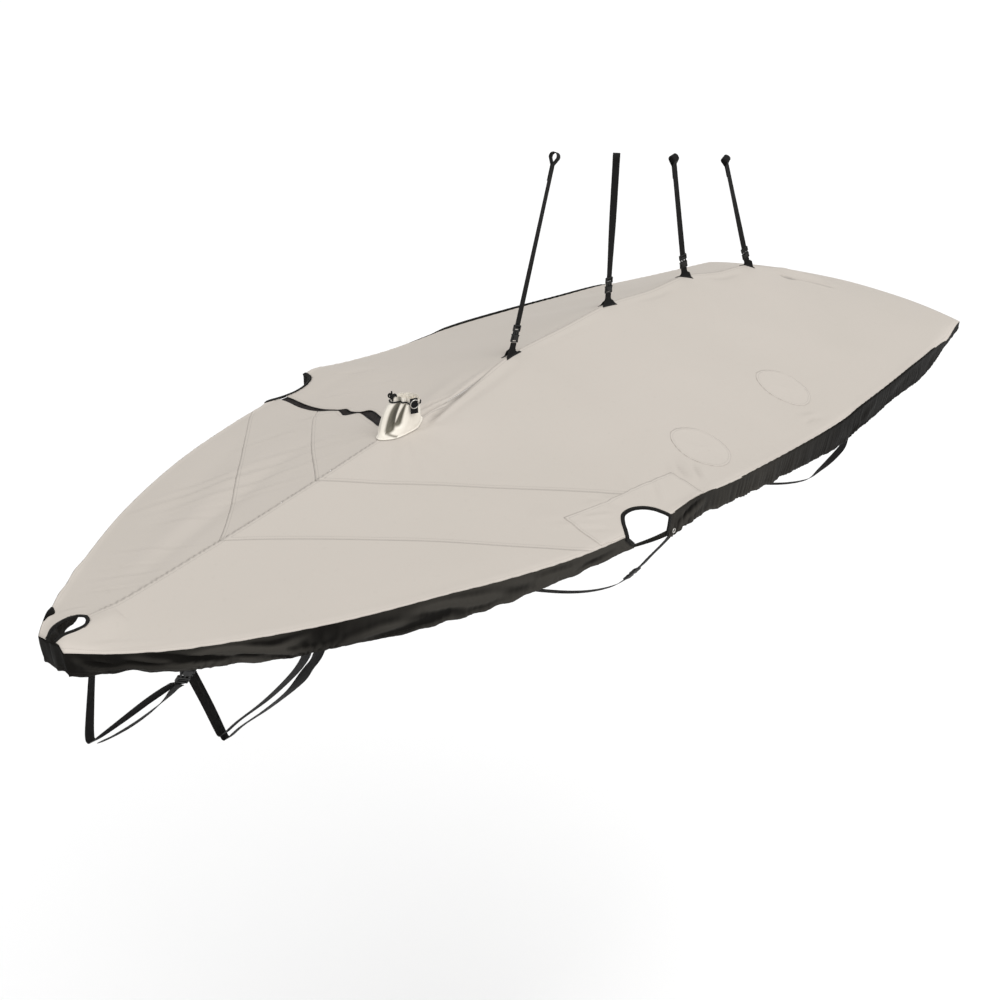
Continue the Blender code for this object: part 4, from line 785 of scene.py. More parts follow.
for patch in table("end aft y half_length half_width turn",
                   ("fore", 1.910, 0.632, 0.098, 0.100, 0.3), ("aft", 2.585, 0.577, 0.105, 0.098, 0.3)):
    u, w = np.meshgrid(np.linspace(-1, 1, 33), np.linspace(-1, 1, 33), indexing="ij")
    disc_u, disc_w = u * np.sqrt(1 - w ** 2 / 2), w * np.sqrt(1 - u ** 2 / 2)
    angle = np.arctan2(disc_w, disc_u)
    uneven = 1 + 0.016 * np.sin(3 * angle + patch.aft) + 0.010 * np.sin(5 * angle)
    long = patch.half_length * disc_u * uneven
    wide = patch.half_width * disc_w * uneven
    aft = patch.aft + long * math.cos(patch.turn) - wide * math.sin(patch.turn)
    y = patch.y + long * math.sin(patch.turn) + wide * math.cos(patch.turn)
    gap = 0.1 * (1 - np.hypot(disc_u, disc_w)) + 0.0001
    lift = (0.0006 * np.sin(19 * angle + 2 * np.sin(4 * angle)) * bell(gap, 0.014)
            + 0.0010 * np.sin(angle * 2 + 1.0) * smooth_step(gap / 0.04))
    wear_patch(f"cover_round_patch_{patch.end}", f"round_patch_{patch.end}", aft, y, gap, lift,
               {"gap": gap + 0.0017, "run": angle * 0.1, "inboard": gap + 0.1})

SHROUD_PATCH = table(
    "aft inboard",
    (1.254, 0.008), (1.256, 0.076), (1.267, 0.152), (1.346, 0.150), (1.426, 0.144),
    (1.560, 0.144), (1.690, 0.130), (1.694, 0.074), (1.688, 0.008)
)


def shifted(line, distance):
    """An outline in plan moved to its left."""
    along = unit(np.gradient(line, axis=0))
    return pairs(line[:, 0] - along[:, 1] * distance, line[:, 1] + along[:, 0] * distance)


inner = shifted(openings[1], -0.0010)
share = np.linspace(0, len(SHROUD_PATCH) - 1, len(inner))
outer_aft, outer_in = (np.interp(share, range(len(SHROUD_PATCH)), column) for column in zip(*SHROUD_PATCH))
outer = pairs(outer_aft, half_breadth(outer_aft) - outer_in)
step = np.linspace(0, 1, 19)[None, :, None]
plan = inner[:, None, :] * (1 - step) + outer[:, None, :] * step
aft, y = plan[..., 0], plan[..., 1]
gap, _, run = distance_to(outer, aft, y)
inboard = half_breadth(aft) - y
gap = np.minimum(gap, inboard) + 0.0003
wear_patch("cover_shroud_patch", "shroud_patch_port", aft, y, gap, 0.0,
           {"gap": gap + 0.0008, "run": run, "inboard": inboard})


# ---- bindings -----------------------------------------------------------------------------------
# Folded black tape sewn over the raw edge of the forestay slot and of the two shroud openings.
# It stands a little above and below the canvas.
SLOT_BINDING = (0.010, 0.0042)            # width and thickness
OPENING_BINDING = (0.0135, 0.0058)
EDGE_ROUND = 0.9         # how round a strip's edges are; 1 is half a circle
BINDING_MIDDLE = 0.0032  # its middle lies this far in from the cut edge


def weave_tape(name, colour, worn, rib, roughness):
    """Woven black tape or webbing: ribs across it, a chevron along it, paler on its ribs and in patches."""
    made, shader, wire = new_finish(name, roughness, Specular_IOR_Level=0.12)
    along, across = wire.cut_axes()
    place = wire.place()
    ribs = (along + abs(across.cycles(0.0062)) * 0.0010).cycles(rib)
    fuzz = wire.noise(place, 240.0, 2.0)
    cloud = wire.noise(place, 14.0, 3.0)
    wire.mix(ribs.band(0.1, 0.9) * 0.5 + cloud * 0.3, colour, worn).feed(shader, "Base Color")
    (roughness - 0.08 + cloud * 0.16).feed(shader, "Roughness")
    height = ribs * 0.00016 + across.cycles(0.0009) * 0.00005 + fuzz * 0.00012
    height.emboss(shader, 0.7)
    return made


black_tape = weave_tape("black_tape", (0.007, 0.0065, 0.006), (0.018, 0.017, 0.015), 0.0016, 0.62)


def sweep(name, centres, right, up, profile, finish, node, closed=False):
    """A strip or cord: a closed profile carried along a line, with its ends capped."""
    centres, right, up = np.asarray(centres), unit(np.asarray(right)), unit(np.asarray(up))
    profile = np.asarray(profile)
    profile = np.broadcast_to(profile, (len(centres), *profile.shape))
    rings = centres[:, None] + right[:, None] * profile[..., :1] + up[:, None] * profile[..., 1:]
    count, around = rings.shape[:2]
    index = np.arange(count * around).reshape(count, around)
    after = np.roll(index, -1, axis=0) if closed else index[1:]
    before = index if closed else index[:-1]
    beside_b, beside_a = np.roll(before, -1, axis=1), np.roll(after, -1, axis=1)
    faces = np.stack((before, beside_b, beside_a, after), axis=-1).reshape(-1, 4).tolist()
    caps = [] if closed else [index[0].tolist(), index[-1][::-1].tolist()]
    facing_ahead = np.dot(np.cross(right[0], up[0]), centres[1] - centres[0])
    if facing_ahead < 0:
        faces = [face[::-1] for face in faces]
    if facing_ahead > 0:
        caps = [cap[::-1] for cap in caps]
    smooth = np.arange(len(faces) + len(caps)) < len(faces)
    return add_piece(name, rings.reshape(-1, 3).tolist(), faces + caps, smooth, finish, node,
                     pairs(run_along(centres)[:, None], profile[..., 0]).reshape(-1, 2))


def flat_profile(width, thickness, steps=3):
    """Outline of a flat strip with rounded edges."""
    points = []
    for sign in (1, -1):
        for angle in np.linspace(-math.pi / 2, math.pi / 2, steps + 1):
            points.append((sign * (width - thickness * EDGE_ROUND * (1 - math.cos(angle))) / 2,
                           sign * thickness / 2 * math.sin(angle)))
        points += [(x, sign * thickness / 2) for x in sign * np.linspace(width / 2, -width / 2, 7)[1:-1]]
    return points


def bind_edge(name, line, inward, node, size, down=()):
    """Binding tape along an outline in plan; down are the points it goes on to beyond each end."""
    aft, y = shifted(line, inward * BINDING_MIDDLE).T
    at_tip = np.hypot(aft - 0.02, y) < 0.07
    height = np.where(at_tip, cover_height(np.maximum(aft, 0.004), y), surface(aft, y))
    centres = stack(aft, y, height - CLOTH / 2)
    ahead = np.gradient(centres, axis=0)
    inner_aft, inner_y = shifted(line, inward * 2 * BINDING_MIDDLE).T
    outer_aft, outer_y = line.T
    across = (stack(inner_aft, inner_y, surface(inner_aft, inner_y))
              - stack(outer_aft, outer_y, surface(outer_aft, outer_y)))
    up = unit(np.cross(ahead, across))
    up = np.where(up[:, 2:] < 0, -up, up)
    if len(down):
        before, after = (np.array(points) for points in down)
        outward = np.array((0.0, float(inward), 0.0))
        centres = np.concatenate((before, centres, after))
        up = np.concatenate((before * 0 + outward, up, after * 0 + outward))
        for _ in range(3):
            up[1:-1] = unit(up[:-2] + up[1:-1] * 2 + up[2:])
        ahead = unit(np.gradient(centres, axis=0))
        up = unit(up - ahead * np.sum(up * ahead, axis=1, keepdims=True))
    side = np.cross(up, unit(ahead))
    return sweep(name, centres, side, up, flat_profile(*size, 4), black_tape, node)


bind_edge("binding_slot", slot, 1, "slot_binding", SLOT_BINDING)


# ---- slit tape ----------------------------------------------------------------------------------
# Black hook tape under the slit that lets the cover past the mast, seen where the edges gape.
def hook_tape():
    made, shader, wire = new_finish("hook_tape", 0.8, Specular_IOR_Level=0.2)
    hooks = wire.node("TexVoronoi", {}, {"Vector": wire.place(), "Scale": 620.0})
    middle = abs(wire.mark("gap") - 0.55).band(0.10, 0.16)
    tone = wire.mix(middle, (0.026, 0.018, 0.016), (0.009, 0.007, 0.007))
    wire.mix(hooks.band(0.0, 0.5) * 0.5, (0.004, 0.004, 0.004), tone).feed(shader, "Base Color")
    (hooks * 0.0006).emboss(shader, 0.8)
    return made


TAPE_BEYOND = 0.016      # how far the tape reaches under the cloth on each side of the slit
TAPE_STARTS = 0.035      # share of the half-breadth where it comes out from under the collar
TAPE_BELOW = 0.0030      # gap under the cloth
TAPE = 0.0014            # thickness
share = np.linspace(0, 1, 9)[None, :]
by_opening = curve(SLIT, np.array(0.95), "fore", "v") + 0.056 * share - TAPE_BEYOND
inboard = np.interp(by_opening, *zip(*SHROUD_OPENING[-1]))
tape_ends = 1 - (inboard + 0.005) / half_breadth(by_opening)
v = TAPE_STARTS + (tape_ends - TAPE_STARTS) * np.linspace(0, 1, 160)[:, None]
fore, aft_end = slit_fore(v) - TAPE_BEYOND, slit_aft(v) + TAPE_BEYOND
aft = fore + (aft_end - fore) * share
y = -v * half_breadth(aft)
sag = 0.0012 * np.sin(v * 60) * np.sin(math.pi * share)
sew("slit_hook_tape", "slit_tape", stack(aft, y, surface(aft, y) - CLOTH - TAPE_BELOW - sag),
    TAPE, hook_tape(), (0, 0, 1), pairs(y, aft), {"gap": share, "run": aft},
    held="laid")


# ---- mast collar --------------------------------------------------------------------------------
# A cone of softer cream cloth sewn on round the mast's place, taken in by two deep pleats on the
# port bow and drawn to the mast by a black cord with a knot; a webbing tab carries a small ring.
COLLAR_TOP_AFT = 1.228
COLLAR_TOP_RADIUS = 0.038
COLLAR_TOP_Z = 0.304
BOW_RISE = 0.018         # the rim stands higher at the bow, where the cord bunches it
BUNCH = 0.030            # how far the bunched cloth stands out from the mast there
CORD_SHARE = 0.86        # how far up the collar the cord runs
COLLAR_HEM = 0.06        # share of its height that lies flared out on the cover
COLLAR_HEIGHT = 0.11     # of the flat cloth
COLLAR_CLOTH = 0.0016
CORD_RADIUS = 0.0023
# Pleats sunk into the cloth, or ridges: degrees from aft by port at the foot and at the cord.
PLEATS = table(
    "foot cord width depth start",
    (145, 164, 11, -0.029, 0.06), (125, 139, 8.5, -0.018, 0.22), (137, 151, 4, 0.005, 0.30),
    (172, 178, 7, 0.003, 0.10), (205, 200, 12, 0.004, 0.05), (60, 62, 16, 0.003, 0.05),
    (300, 300, 14, -0.004, 0.05), (250, 245, 9, -0.004, 0.05), (95, 98, 9, -0.002, 0.05),
    (222, 218, 8, -0.006, 0.10)
)
TAB_TURN = math.radians(20)      # from port towards the bow
TAB_RISE = 0.005


def cream_cloth():
    made, shader, wire = new_finish("cream_cloth", 0.78, Specular_IOR_Level=0.2, Sheen_Weight=0.15)
    across, along = wire.cut_axes()
    weave = across.cycles(0.0010) * along.cycles(0.0010)
    cloud = wire.noise(wire.place(), 18.0, 4.0)
    gap, run, dart = wire.mark("gap"), wire.mark("run"), wire.mark("dart")
    row = wire.maths("MAXIMUM", stitches(gap, run, 0.0035), stitches(gap, run, 0.0100))
    line = 1 - gap.band(0.0003, 0.0018)
    tone = wire.mix(cloud, (0.83, 0.778, 0.690), (0.90, 0.852, 0.768))
    # painted shade: near-black inside the pleats (tuck), and a greyer painted shade on the collar's
    # bow-facing side (shaded)
    tone = wire.mix(wire.mark("tuck").band(0.10, 0.62) * 0.90, tone, (0.088, 0.080, 0.052))
    tone = wire.mix(wire.mark("shaded") * 0.34, tone, (0.30, 0.28, 0.23))
    tone = wire.mix(wire.maths("MAXIMUM", row * 0.5, line * 0.6), tone, (0.30, 0.27, 0.22))
    wire.mix(dart * 0.85, tone, (0.10, 0.085, 0.055)).feed(shader, "Base Color")
    height = weave * 0.00005 + cloud * 0.0012 - row * 0.0005 - line * 0.0005 - dart * 0.0015
    height.emboss(shader, 0.6)
    return made


def collar_place(angle, share, out=0.0):
    """Aft and y of a place on the collar, the height of its level, and how deep it lies in a pleat."""
    climb = np.clip(share / CORD_SHARE, 0, 1)
    degrees = np.degrees(angle)
    to_bow = bell(degrees - 180, 42)
    ease = (1 - to_bow) * climb ** 0.8 + to_bow * (0.56 * climb + 0.44 * climb ** 4)
    flare = np.clip(-share / COLLAR_HEM, 0, 1)
    foot_aft = COLLAR_AFT + (COLLAR_HALF_LENGTH + 0.004 * flare) * np.cos(angle)
    foot_y = (COLLAR_HALF_WIDTH + 0.003 * flare) * np.sin(angle) * np.abs(np.sin(angle)) ** 0.1
    radius = COLLAR_TOP_RADIUS + BUNCH * bell(degrees - 180, 24)
    aft = foot_aft + (COLLAR_TOP_AFT + radius * np.cos(angle) - foot_aft) * ease
    y = foot_y + (radius * np.sin(angle) - foot_y) * ease
    sunk = 0.0
    for pleat in PLEATS:
        middle = pleat.foot + (pleat.cord - pleat.foot) * climb
        lens = np.sin(math.pi * np.minimum(climb * 0.85 + 0.10, 1)) ** 0.6
        lens = lens * smooth_step((climb - pleat.start) / 0.16)
        sunk = sunk + pleat.depth * lens * bell(degrees - middle, pleat.width * (1.15 - 0.55 * climb))
    neck = bell(share - CORD_SHARE, 0.08)
    folded = sunk + neck * (0.0011 * np.sin(19 * angle + 1.5 * np.sin(5 * angle)) - 0.0012)
    folded = folded + 0.0007 * np.sin(7 * angle + 6 * share) * (1 - neck) + out
    aft, y = aft + folded * np.cos(angle), y + folded * np.sin(angle)
    foot = surface(aft, y) + 0.0030 + 0.0010 * (1 - flare)
    rim_z = COLLAR_TOP_Z + BOW_RISE * np.clip(-np.cos(angle), 0, 1) ** 2
    return aft, y, foot + (rim_z - foot) * np.clip(share, 0, 1), np.clip(-sunk / 0.018, 0, 1)


def full_turn(count):
    """Angles of so many points round a circle."""
    return math.tau * np.arange(count) / count


angle = full_turn(300)[:, None]
degrees = np.degrees(angle)
share = np.linspace(-COLLAR_HEM, 1, 56)[None, :]
aft, y, height, tuck = collar_place(angle, share)
height = height + 0.0012 * np.sin(9 * angle + 0.6) * smooth_step((share - 0.9) / 0.1)
gap = np.where(share <= 0, (share + COLLAR_HEM) * COLLAR_HEIGHT / 0.9, (1 - share) * COLLAR_HEIGHT + 0.0005)
dart = np.abs(share - 0.005 - 0.0030 * (degrees - 118)) * 0.09 + 0.02 * ((degrees < 118) | (degrees > 158))
# tuck and shaded feed the painted shade in the pleats and on the collar's bow-facing side
marks = {"gap": gap, "run": angle * 0.07, "tuck": tuck, "dart": bell(dart, 0.0021),
         "shaded": bell(degrees - 192, 20, 4) * smooth_step((share - 0.05) / 0.2)}
facing = np.stack(np.broadcast_arrays(-np.cos(angle), np.sin(angle), 0.3), axis=-1)
sew("collar", "mast_collar", stack(aft, y, height), COLLAR_CLOTH, cream_cloth(), facing,
    pairs(angle * 0.06, share * COLLAR_HEIGHT), marks, held="gathered",
    around=True)


def twisted_cord():
    made, shader, wire = new_finish("twisted_cord", 0.6, Specular_IOR_Level=0.15)
    along, across = wire.cut_axes()
    lay = (along + across * 1.2).cycles(0.0016)
    wire.mix(lay.band(-0.2, 0.9), (0.006, 0.006, 0.006), (0.026, 0.025, 0.023)).feed(shader, "Base Color")
    (lay * 0.0003).emboss(shader, 0.8)
    return made


cord_finish = twisted_cord()


def ring_profile(radius, steps=10):
    turns = full_turn(steps)
    return pairs(radius * np.cos(turns), radius * np.sin(turns))


def smooth_line(points, steps):
    """A Catmull-Rom curve through points, as an array."""
    points = np.asarray(points, float)
    padded = np.concatenate((points[:1], points, points[-1:]))
    t = (np.arange(steps) / steps)[:, None]
    parts = []
    for p0, p1, p2, p3 in zip(padded[:-3], padded[1:-2], padded[2:-1], padded[3:]):
        parts.append(0.5 * (2 * p1 + (p2 - p0) * t + (2 * p0 - 5 * p1 + 4 * p2 - p3) * t ** 2
                            + (3 * p1 - 3 * p2 + p3 - p0) * t ** 3))
    return np.concatenate(parts + [points[-1:]])


def cord_loop(name, path, right, up, radius, node):
    sweep(name, path, right, up, ring_profile(radius), cord_finish, node, closed=True)


circle = full_turn(120)
aft, y, height, _ = collar_place(circle, CORD_SHARE + 0.01 * np.sin(3 * circle), CORD_RADIUS + 0.0003)
path = stack(aft, y, height)
ahead = unit(np.roll(path, -1, axis=0) - np.roll(path, 1, axis=0))
up = np.broadcast_to((0.0, 0.0, 1.0), path.shape)
cord_loop("drawcord", path, np.cross(ahead, up), up, CORD_RADIUS, "collar_drawcord")

# the knot: two turns of the same cord pulled up tight, with a short loop and two short ends
knot_at = np.array((LENGTH / 2 - 1.1665, 0.001, 0.3230))
t = full_turn(96)
trefoil = np.stack((np.sin(t) + 2 * np.sin(2 * t), np.cos(t) - 2 * np.cos(2 * t), -np.sin(3 * t)), axis=-1)
path = knot_at + trefoil * np.array((0.0033, 0.0033, 0.0046))
ahead = unit(np.roll(path, -1, axis=0) - np.roll(path, 1, axis=0))
right = unit(np.cross(ahead, path - knot_at))
cord_loop("drawcord_knot", path, right, np.cross(right, ahead), 0.0028, "collar_knot")
for tail in table("name up points",
                  ("drawcord_loop", (0.777, 0.628, 0.1),
                   ((0.0013, -0.0016, 0.002), (0.0031, -0.0039, 0.007), (0.0063, -0.0078, 0.0085),
                    (0.0085, -0.0105, 0.004), (0.0075, -0.0093, -0.002), (0.0044, -0.0054, -0.004),
                    (0.0013, -0.0016, -0.002))),
                  ("drawcord_end_a", (0.3, 0.9, 0.1),
                   ((0.000, -0.002, 0.002), (0.002, -0.003, 0.010), (0.004, -0.002, 0.0165))),
                  ("drawcord_end_b", (0.3, 0.9, 0.1),
                   ((0.000, 0.003, -0.002), (0.006, 0.005, -0.004), (0.010, 0.008, -0.010)))):
    path = smooth_line(knot_at + np.array(tail.points), 6)
    ahead = unit(np.gradient(path, axis=0))
    right = unit(np.cross(ahead, tail.up))
    sweep(tail.name, path, right, np.cross(right, ahead), ring_profile(0.0024), cord_finish,
          None)

webbing_finish = weave_tape("webbing", (0.006, 0.006, 0.006), (0.017, 0.016, 0.016), 0.0024, 0.66)
WEBBING_WIDTH = 0.025
WEBBING = 0.0016         # thickness
RING_RADIUS = 0.0138
RING_WIRE = 0.0015
tab_out = COLLAR_TOP_RADIUS + 0.0064


def beside_mast(out, z):
    """Place on the tab's line, so far out from the mast's middle."""
    return stack(COLLAR_TOP_AFT - out * math.sin(TAB_TURN), out * math.cos(TAB_TURN), z)


def strap_piece(name, path, side_way, node):
    """Webbing along a path; side_way holds its width vectors."""
    up = np.cross(side_way, unit(np.gradient(path, axis=0)))
    sweep(name, path, side_way, up, flat_profile(WEBBING_WIDTH, WEBBING), webbing_finish, node)


path = smooth_line([beside_mast(tab_out + lean, COLLAR_TOP_Z + TAB_RISE + rise) for lean, rise in
                    ((-0.0040, 0.0030), (-0.0006, 0.0044), (0.0006, -0.010), (0.0022, -0.024),
                     (0.0045, -0.040))], 8)
across_tab = np.array((math.cos(TAB_TURN), -math.sin(TAB_TURN), 0.0))
strap_piece("tab", path, np.broadcast_to(across_tab, path.shape), "collar_tab")


def bare_metal(name, colour, roughness):
    made, shader, wire = new_finish(name, roughness, Metallic=1.0)
    dull = wire.noise(wire.place(), 420.0, 3.0)
    wire.mix(dull, tint(colour, 0.82), colour).feed(shader, "Base Color")
    (roughness - 0.06 + dull * 0.16).feed(shader, "Roughness")
    return made


nickel = bare_metal("nickel", (0.70, 0.68, 0.64), 0.30)
ring_at = beside_mast(tab_out + 0.0050, COLLAR_TOP_Z + TAB_RISE - 0.0105)
circle = full_turn(48)[:, None]
outward = np.array((math.sin(TAB_TURN), math.cos(TAB_TURN), 0.0))
out = np.cos(circle) * across_tab + np.sin(circle) * (0.10 * outward + np.array((0.0, 0.0, 1.0)))
sweep("tab_ring", ring_at + RING_RADIUS * out, out, np.broadcast_to(outward, out.shape),
      ring_profile(RING_WIRE), nickel, "collar_ring", closed=True)


# ---- skirt --------------------------------------------------------------------------------------
# Thin black cloth sewn under the gunwale edge of the canvas, gathered on elastic in its hem so
# that it tucks in under the rubbing strake. It breaks off at the two shroud openings.
SKIRT_CLOTH = 0.0010
SKIRT_PITCH = 0.0055     # between its mesh lines
ELASTIC_WIDTH = 0.016
ELASTIC = 0.0016         # thickness, with its channel of cloth
EYELET_RADIUS = 0.0062
EYELET_ROLL = 0.0014
SHALLOW = 0.05           # a skirt less deep than this has smaller waves
LAP_UNDER = 0.0022       # a seam allowance up to this wide lies under the canvas
HEM_SLANT = 0.046        # how far the fore skirt's hem runs on past its top at the shroud opening
SKIRT = table(
    "aft depth tuck",
    (0.00, 0.078, 0.008), (0.05, 0.068, 0.012), (0.12, 0.061, 0.014), (0.20, 0.070, 0.014),
    (0.30, 0.073, 0.013), (0.40, 0.082, 0.012), (0.54, 0.082, 0.014), (0.66, 0.093, 0.018),
    (0.78, 0.092, 0.016), (0.90, 0.084, 0.010), (1.02, 0.072, 0.008), (1.14, 0.061, 0.007),
    (1.26, 0.053, 0.006), (1.34, 0.050, 0.005), (1.52, 0.075, 0.003), (1.56, 0.073, 0.002),
    (1.60, 0.065, 0.002), (1.68, 0.064, 0.004), (1.80, 0.072, 0.005), (2.10, 0.079, 0.008),
    (2.28, 0.083, 0.008), (2.46, 0.096, 0.009), (2.60, 0.109, 0.010), (2.70, 0.109, 0.009),
    (2.82, 0.098, 0.008), (3.00, 0.095, 0.007), (3.20, 0.085, 0.006), (3.34, 0.089, 0.005),
    (3.50, 0.097, 0.004), (3.66, 0.093, 0.003), (3.76, 0.082, 0.002), (3.90, 0.057, 0.001),
    (4.00, 0.048, 0.000), (4.20, 0.036, 0.000)
)
STRAP_AFTS = (0.240, 0.458, 0.496, 1.554, 2.774)
# How strong the upright gathers and the hem's waves are along the boat, and how much lighter or darker the
# cloth's colour is painted there: painted light along the fore half, painted shade towards the stern.
GATHERS = table(
    "aft strength wave fade",
    (0.00, 0.35, 0.0050, 0.05), (0.18, 0.40, 0.0045, 0.15), (0.28, 0.40, 0.0045, 0.60),
    (0.38, 0.35, 0.0045, 0.62), (0.48, 0.35, 0.0045, 0.10), (0.60, 0.40, 0.0050, 0.30),
    (0.85, 0.40, 0.0045, 0.68), (1.25, 0.45, 0.0030, 0.95), (1.60, 1.10, 0.0040, 0.55),
    (2.00, 1.25, 0.0040, 0.62), (2.30, 0.90, 0.0035, 0.28), (2.60, 0.70, 0.0025, 0.06),
    (3.00, 0.70, 0.0012, -0.16), (3.70, 0.60, 0.0010, -0.22), (4.20, 0.40, 0.0010, -0.06)
)
# Long slanting folds pulled into the cloth: distance aft and share of the depth at each end.
PULLS = table(
    "aft_a share_a aft_b share_b width height",
    (0.10, 0.10, 0.24, 0.85, 0.010, 0.0065), (0.15, 0.08, 0.32, 0.80, 0.009, -0.0065),
    (0.24, 0.10, 0.42, 0.70, 0.010, 0.0070), (0.30, 0.55, 0.44, 0.95, 0.008, -0.0060),
    (0.05, 0.50, 0.22, 0.90, 0.008, 0.0050), (0.01, 0.12, 0.07, 0.85, 0.008, 0.0060),
    (0.02, 0.66, 0.30, 0.74, 0.006, 0.0065), (0.20, 0.35, 0.34, 0.15, 0.007, 0.0040),
    (0.26, 0.72, 0.52, 0.80, 0.006, 0.0045), (0.02, 0.30, 0.10, 0.62, 0.006, -0.0060),
    (0.16, 0.55, 0.30, 0.30, 0.007, -0.0045), (0.36, 0.60, 0.46, 0.20, 0.008, 0.0050),
    (0.50, 0.90, 0.72, 0.35, 0.010, 0.0045), (0.62, 0.42, 0.84, 0.50, 0.009, -0.0045),
    (0.56, 0.95, 0.86, 0.55, 0.011, -0.0048), (0.72, 0.30, 1.00, 0.72, 0.012, 0.0052),
    (0.80, 0.85, 1.08, 0.40, 0.014, -0.0034), (0.96, 0.35, 1.22, 0.80, 0.013, 0.0032),
    (1.10, 0.85, 1.30, 0.45, 0.012, -0.0028), (1.56, 0.85, 1.70, 0.25, 0.011, 0.0030),
    (1.55, 0.60, 1.66, 0.12, 0.009, -0.0024), (2.60, 0.25, 2.76, 0.90, 0.012, 0.0030),
    (2.79, 0.90, 2.98, 0.30, 0.012, 0.0030), (3.10, 0.80, 3.40, 0.30, 0.016, -0.0034),
    (3.30, 0.30, 3.62, 0.75, 0.016, 0.0036), (3.60, 0.60, 3.85, 0.20, 0.014, -0.0026)
)


def gather_wave(along):
    """Uneven broad waves of the hem, between about -1 and 1."""
    main = np.sin(math.tau * along / 0.115 + 1.4 * ripple(along, 0.43))
    return (0.62 + 0.38 * ripple(along, 0.61, 0.8)) * main + 0.3 * ripple(along, 0.29, 2.0)


def skirt_depth(aft, side):
    inside = np.clip(aft, 0, LENGTH)
    half = half_breadth(inside)
    return curve(SKIRT, inside, "depth") + cover_height(inside, side * half) - cover_height(inside, half)


for side, tag in SIDES:
    # the openings' binding goes on down the cut ends of the skirt to the elastic
    ends = []
    for corner, slant in ((SHROUD_OPENING[side][0], HEM_SLANT - 0.010), (SHROUD_OPENING[side][-1], 0.0)):
        k = np.linspace(0, 1, 7)
        aft = corner.aft + slant * k
        drop = skirt_depth(np.array(corner.aft), side) - 0.018
        start_z = cover_height(corner.aft, side * half_breadth(corner.aft)) - 0.006
        ends.append(stack(aft, side * (half_breadth(aft) + 0.0008 - 0.004 * k ** 2), start_z - drop * k))
    bind_edge(f"binding_shroud_{tag}", openings[side], side, f"shroud_binding_{tag}", OPENING_BINDING,
              (ends[0][::-1], ends[1]))


def hem_cloth():
    """Thin black coated nylon with a slight shine. Its colour varies at random, and is painted lighter on
    fold ridges and darker in fold valleys, as painted light and shade.
    """
    made, shader, wire = new_finish("hem_cloth", 0.56, Specular_IOR_Level=0.02)
    place = wire.place()
    along, down = wire.cut_axes()
    weave = along.cycles(0.0009) * down.cycles(0.0009)
    cloud = wire.noise(place, 7.0, 4.0)
    crumple = wire.noise(place, 34.0, 4.0, (1.0, 1.0, 0.55))
    row = stitches(wire.mark("gap"), wire.mark("run"), 0.0130)
    # a random tone plus the mesh mark of painted light and shade
    fade = (cloud.band(0.3, 0.7) - 0.5) * 0.22 + wire.mark("fade")
    tone = wire.mix(fade, (0.0080, 0.0073, 0.0064), (0.046, 0.0425, 0.037))
    wire.mix(row * 0.5, tone, (0.045, 0.042, 0.037)).feed(shader, "Base Color")
    (0.46 + cloud * 0.16).feed(shader, "Roughness")
    height = weave * 0.00003 + crumple * 0.0040 - row * 0.0005
    height.emboss(shader, 0.6)
    return made


hem_black = hem_cloth()
PULL_SPAN = 0.07         # metres that a pull's shares of the depth stand for
STRAP_SEAM = 0.012       # a strap pulls at the cloth from this far below the hem


def relief_of_skirt(along, aft, share, depth):
    """How far the skirt stands out from its smooth run: gathers, slanting pulls, the rolled hem."""
    strength = curve(GATHERS, aft, "strength")
    wander = 2.2 * ripple(along, 0.137, 0.5) + 1.1 * ripple(along, 0.071)
    fine = np.sin(math.tau * along / 0.0235 + wander) * (0.7 + 0.3 * ripple(along, 0.31))
    finer = np.sin(math.tau * along / 0.0125 + 1.9 * wander)
    total = strength * (0.0017 * fine * (0.25 + 0.75 * share) + 0.0006 * finer * share ** 2)
    for pull in PULLS:
        run = np.array((pull.aft_b - pull.aft_a, (pull.share_b - pull.share_a) * PULL_SPAN))
        off = pairs(aft - pull.aft_a, (share - pull.share_a) * PULL_SPAN)
        t = off @ run / run.dot(run)
        wide = (off[..., 0] * run[1] - off[..., 1] * run[0]) / math.hypot(*run) / pull.width
        ridge = bell(wide, 1) - 0.4 * bell(wide - 1.8, 1.1)
        lens = np.sin(math.pi * np.clip(t, 0, 1)) ** 0.8
        total = total + np.where((t > 0) & (t < 1), pull.height * lens * ridge, 0.0)
    from_hem = (1 - share) * depth
    for strap in STRAP_AFTS:
        below = from_hem + STRAP_SEAM
        fan = np.sin(13 * np.arctan2(below, aft - strap))
        total = total + 0.0020 * fan * bell(np.hypot(aft - strap, below), 0.055)
    channel = 0.0016 + 0.0008 * np.sin(math.tau * along / 0.0085 + wander)
    total = total + bell(from_hem - 0.006, 0.0055) * channel
    return total * smooth_step(share / 0.18) * np.clip(depth / SHALLOW, 0.15, 1.0)


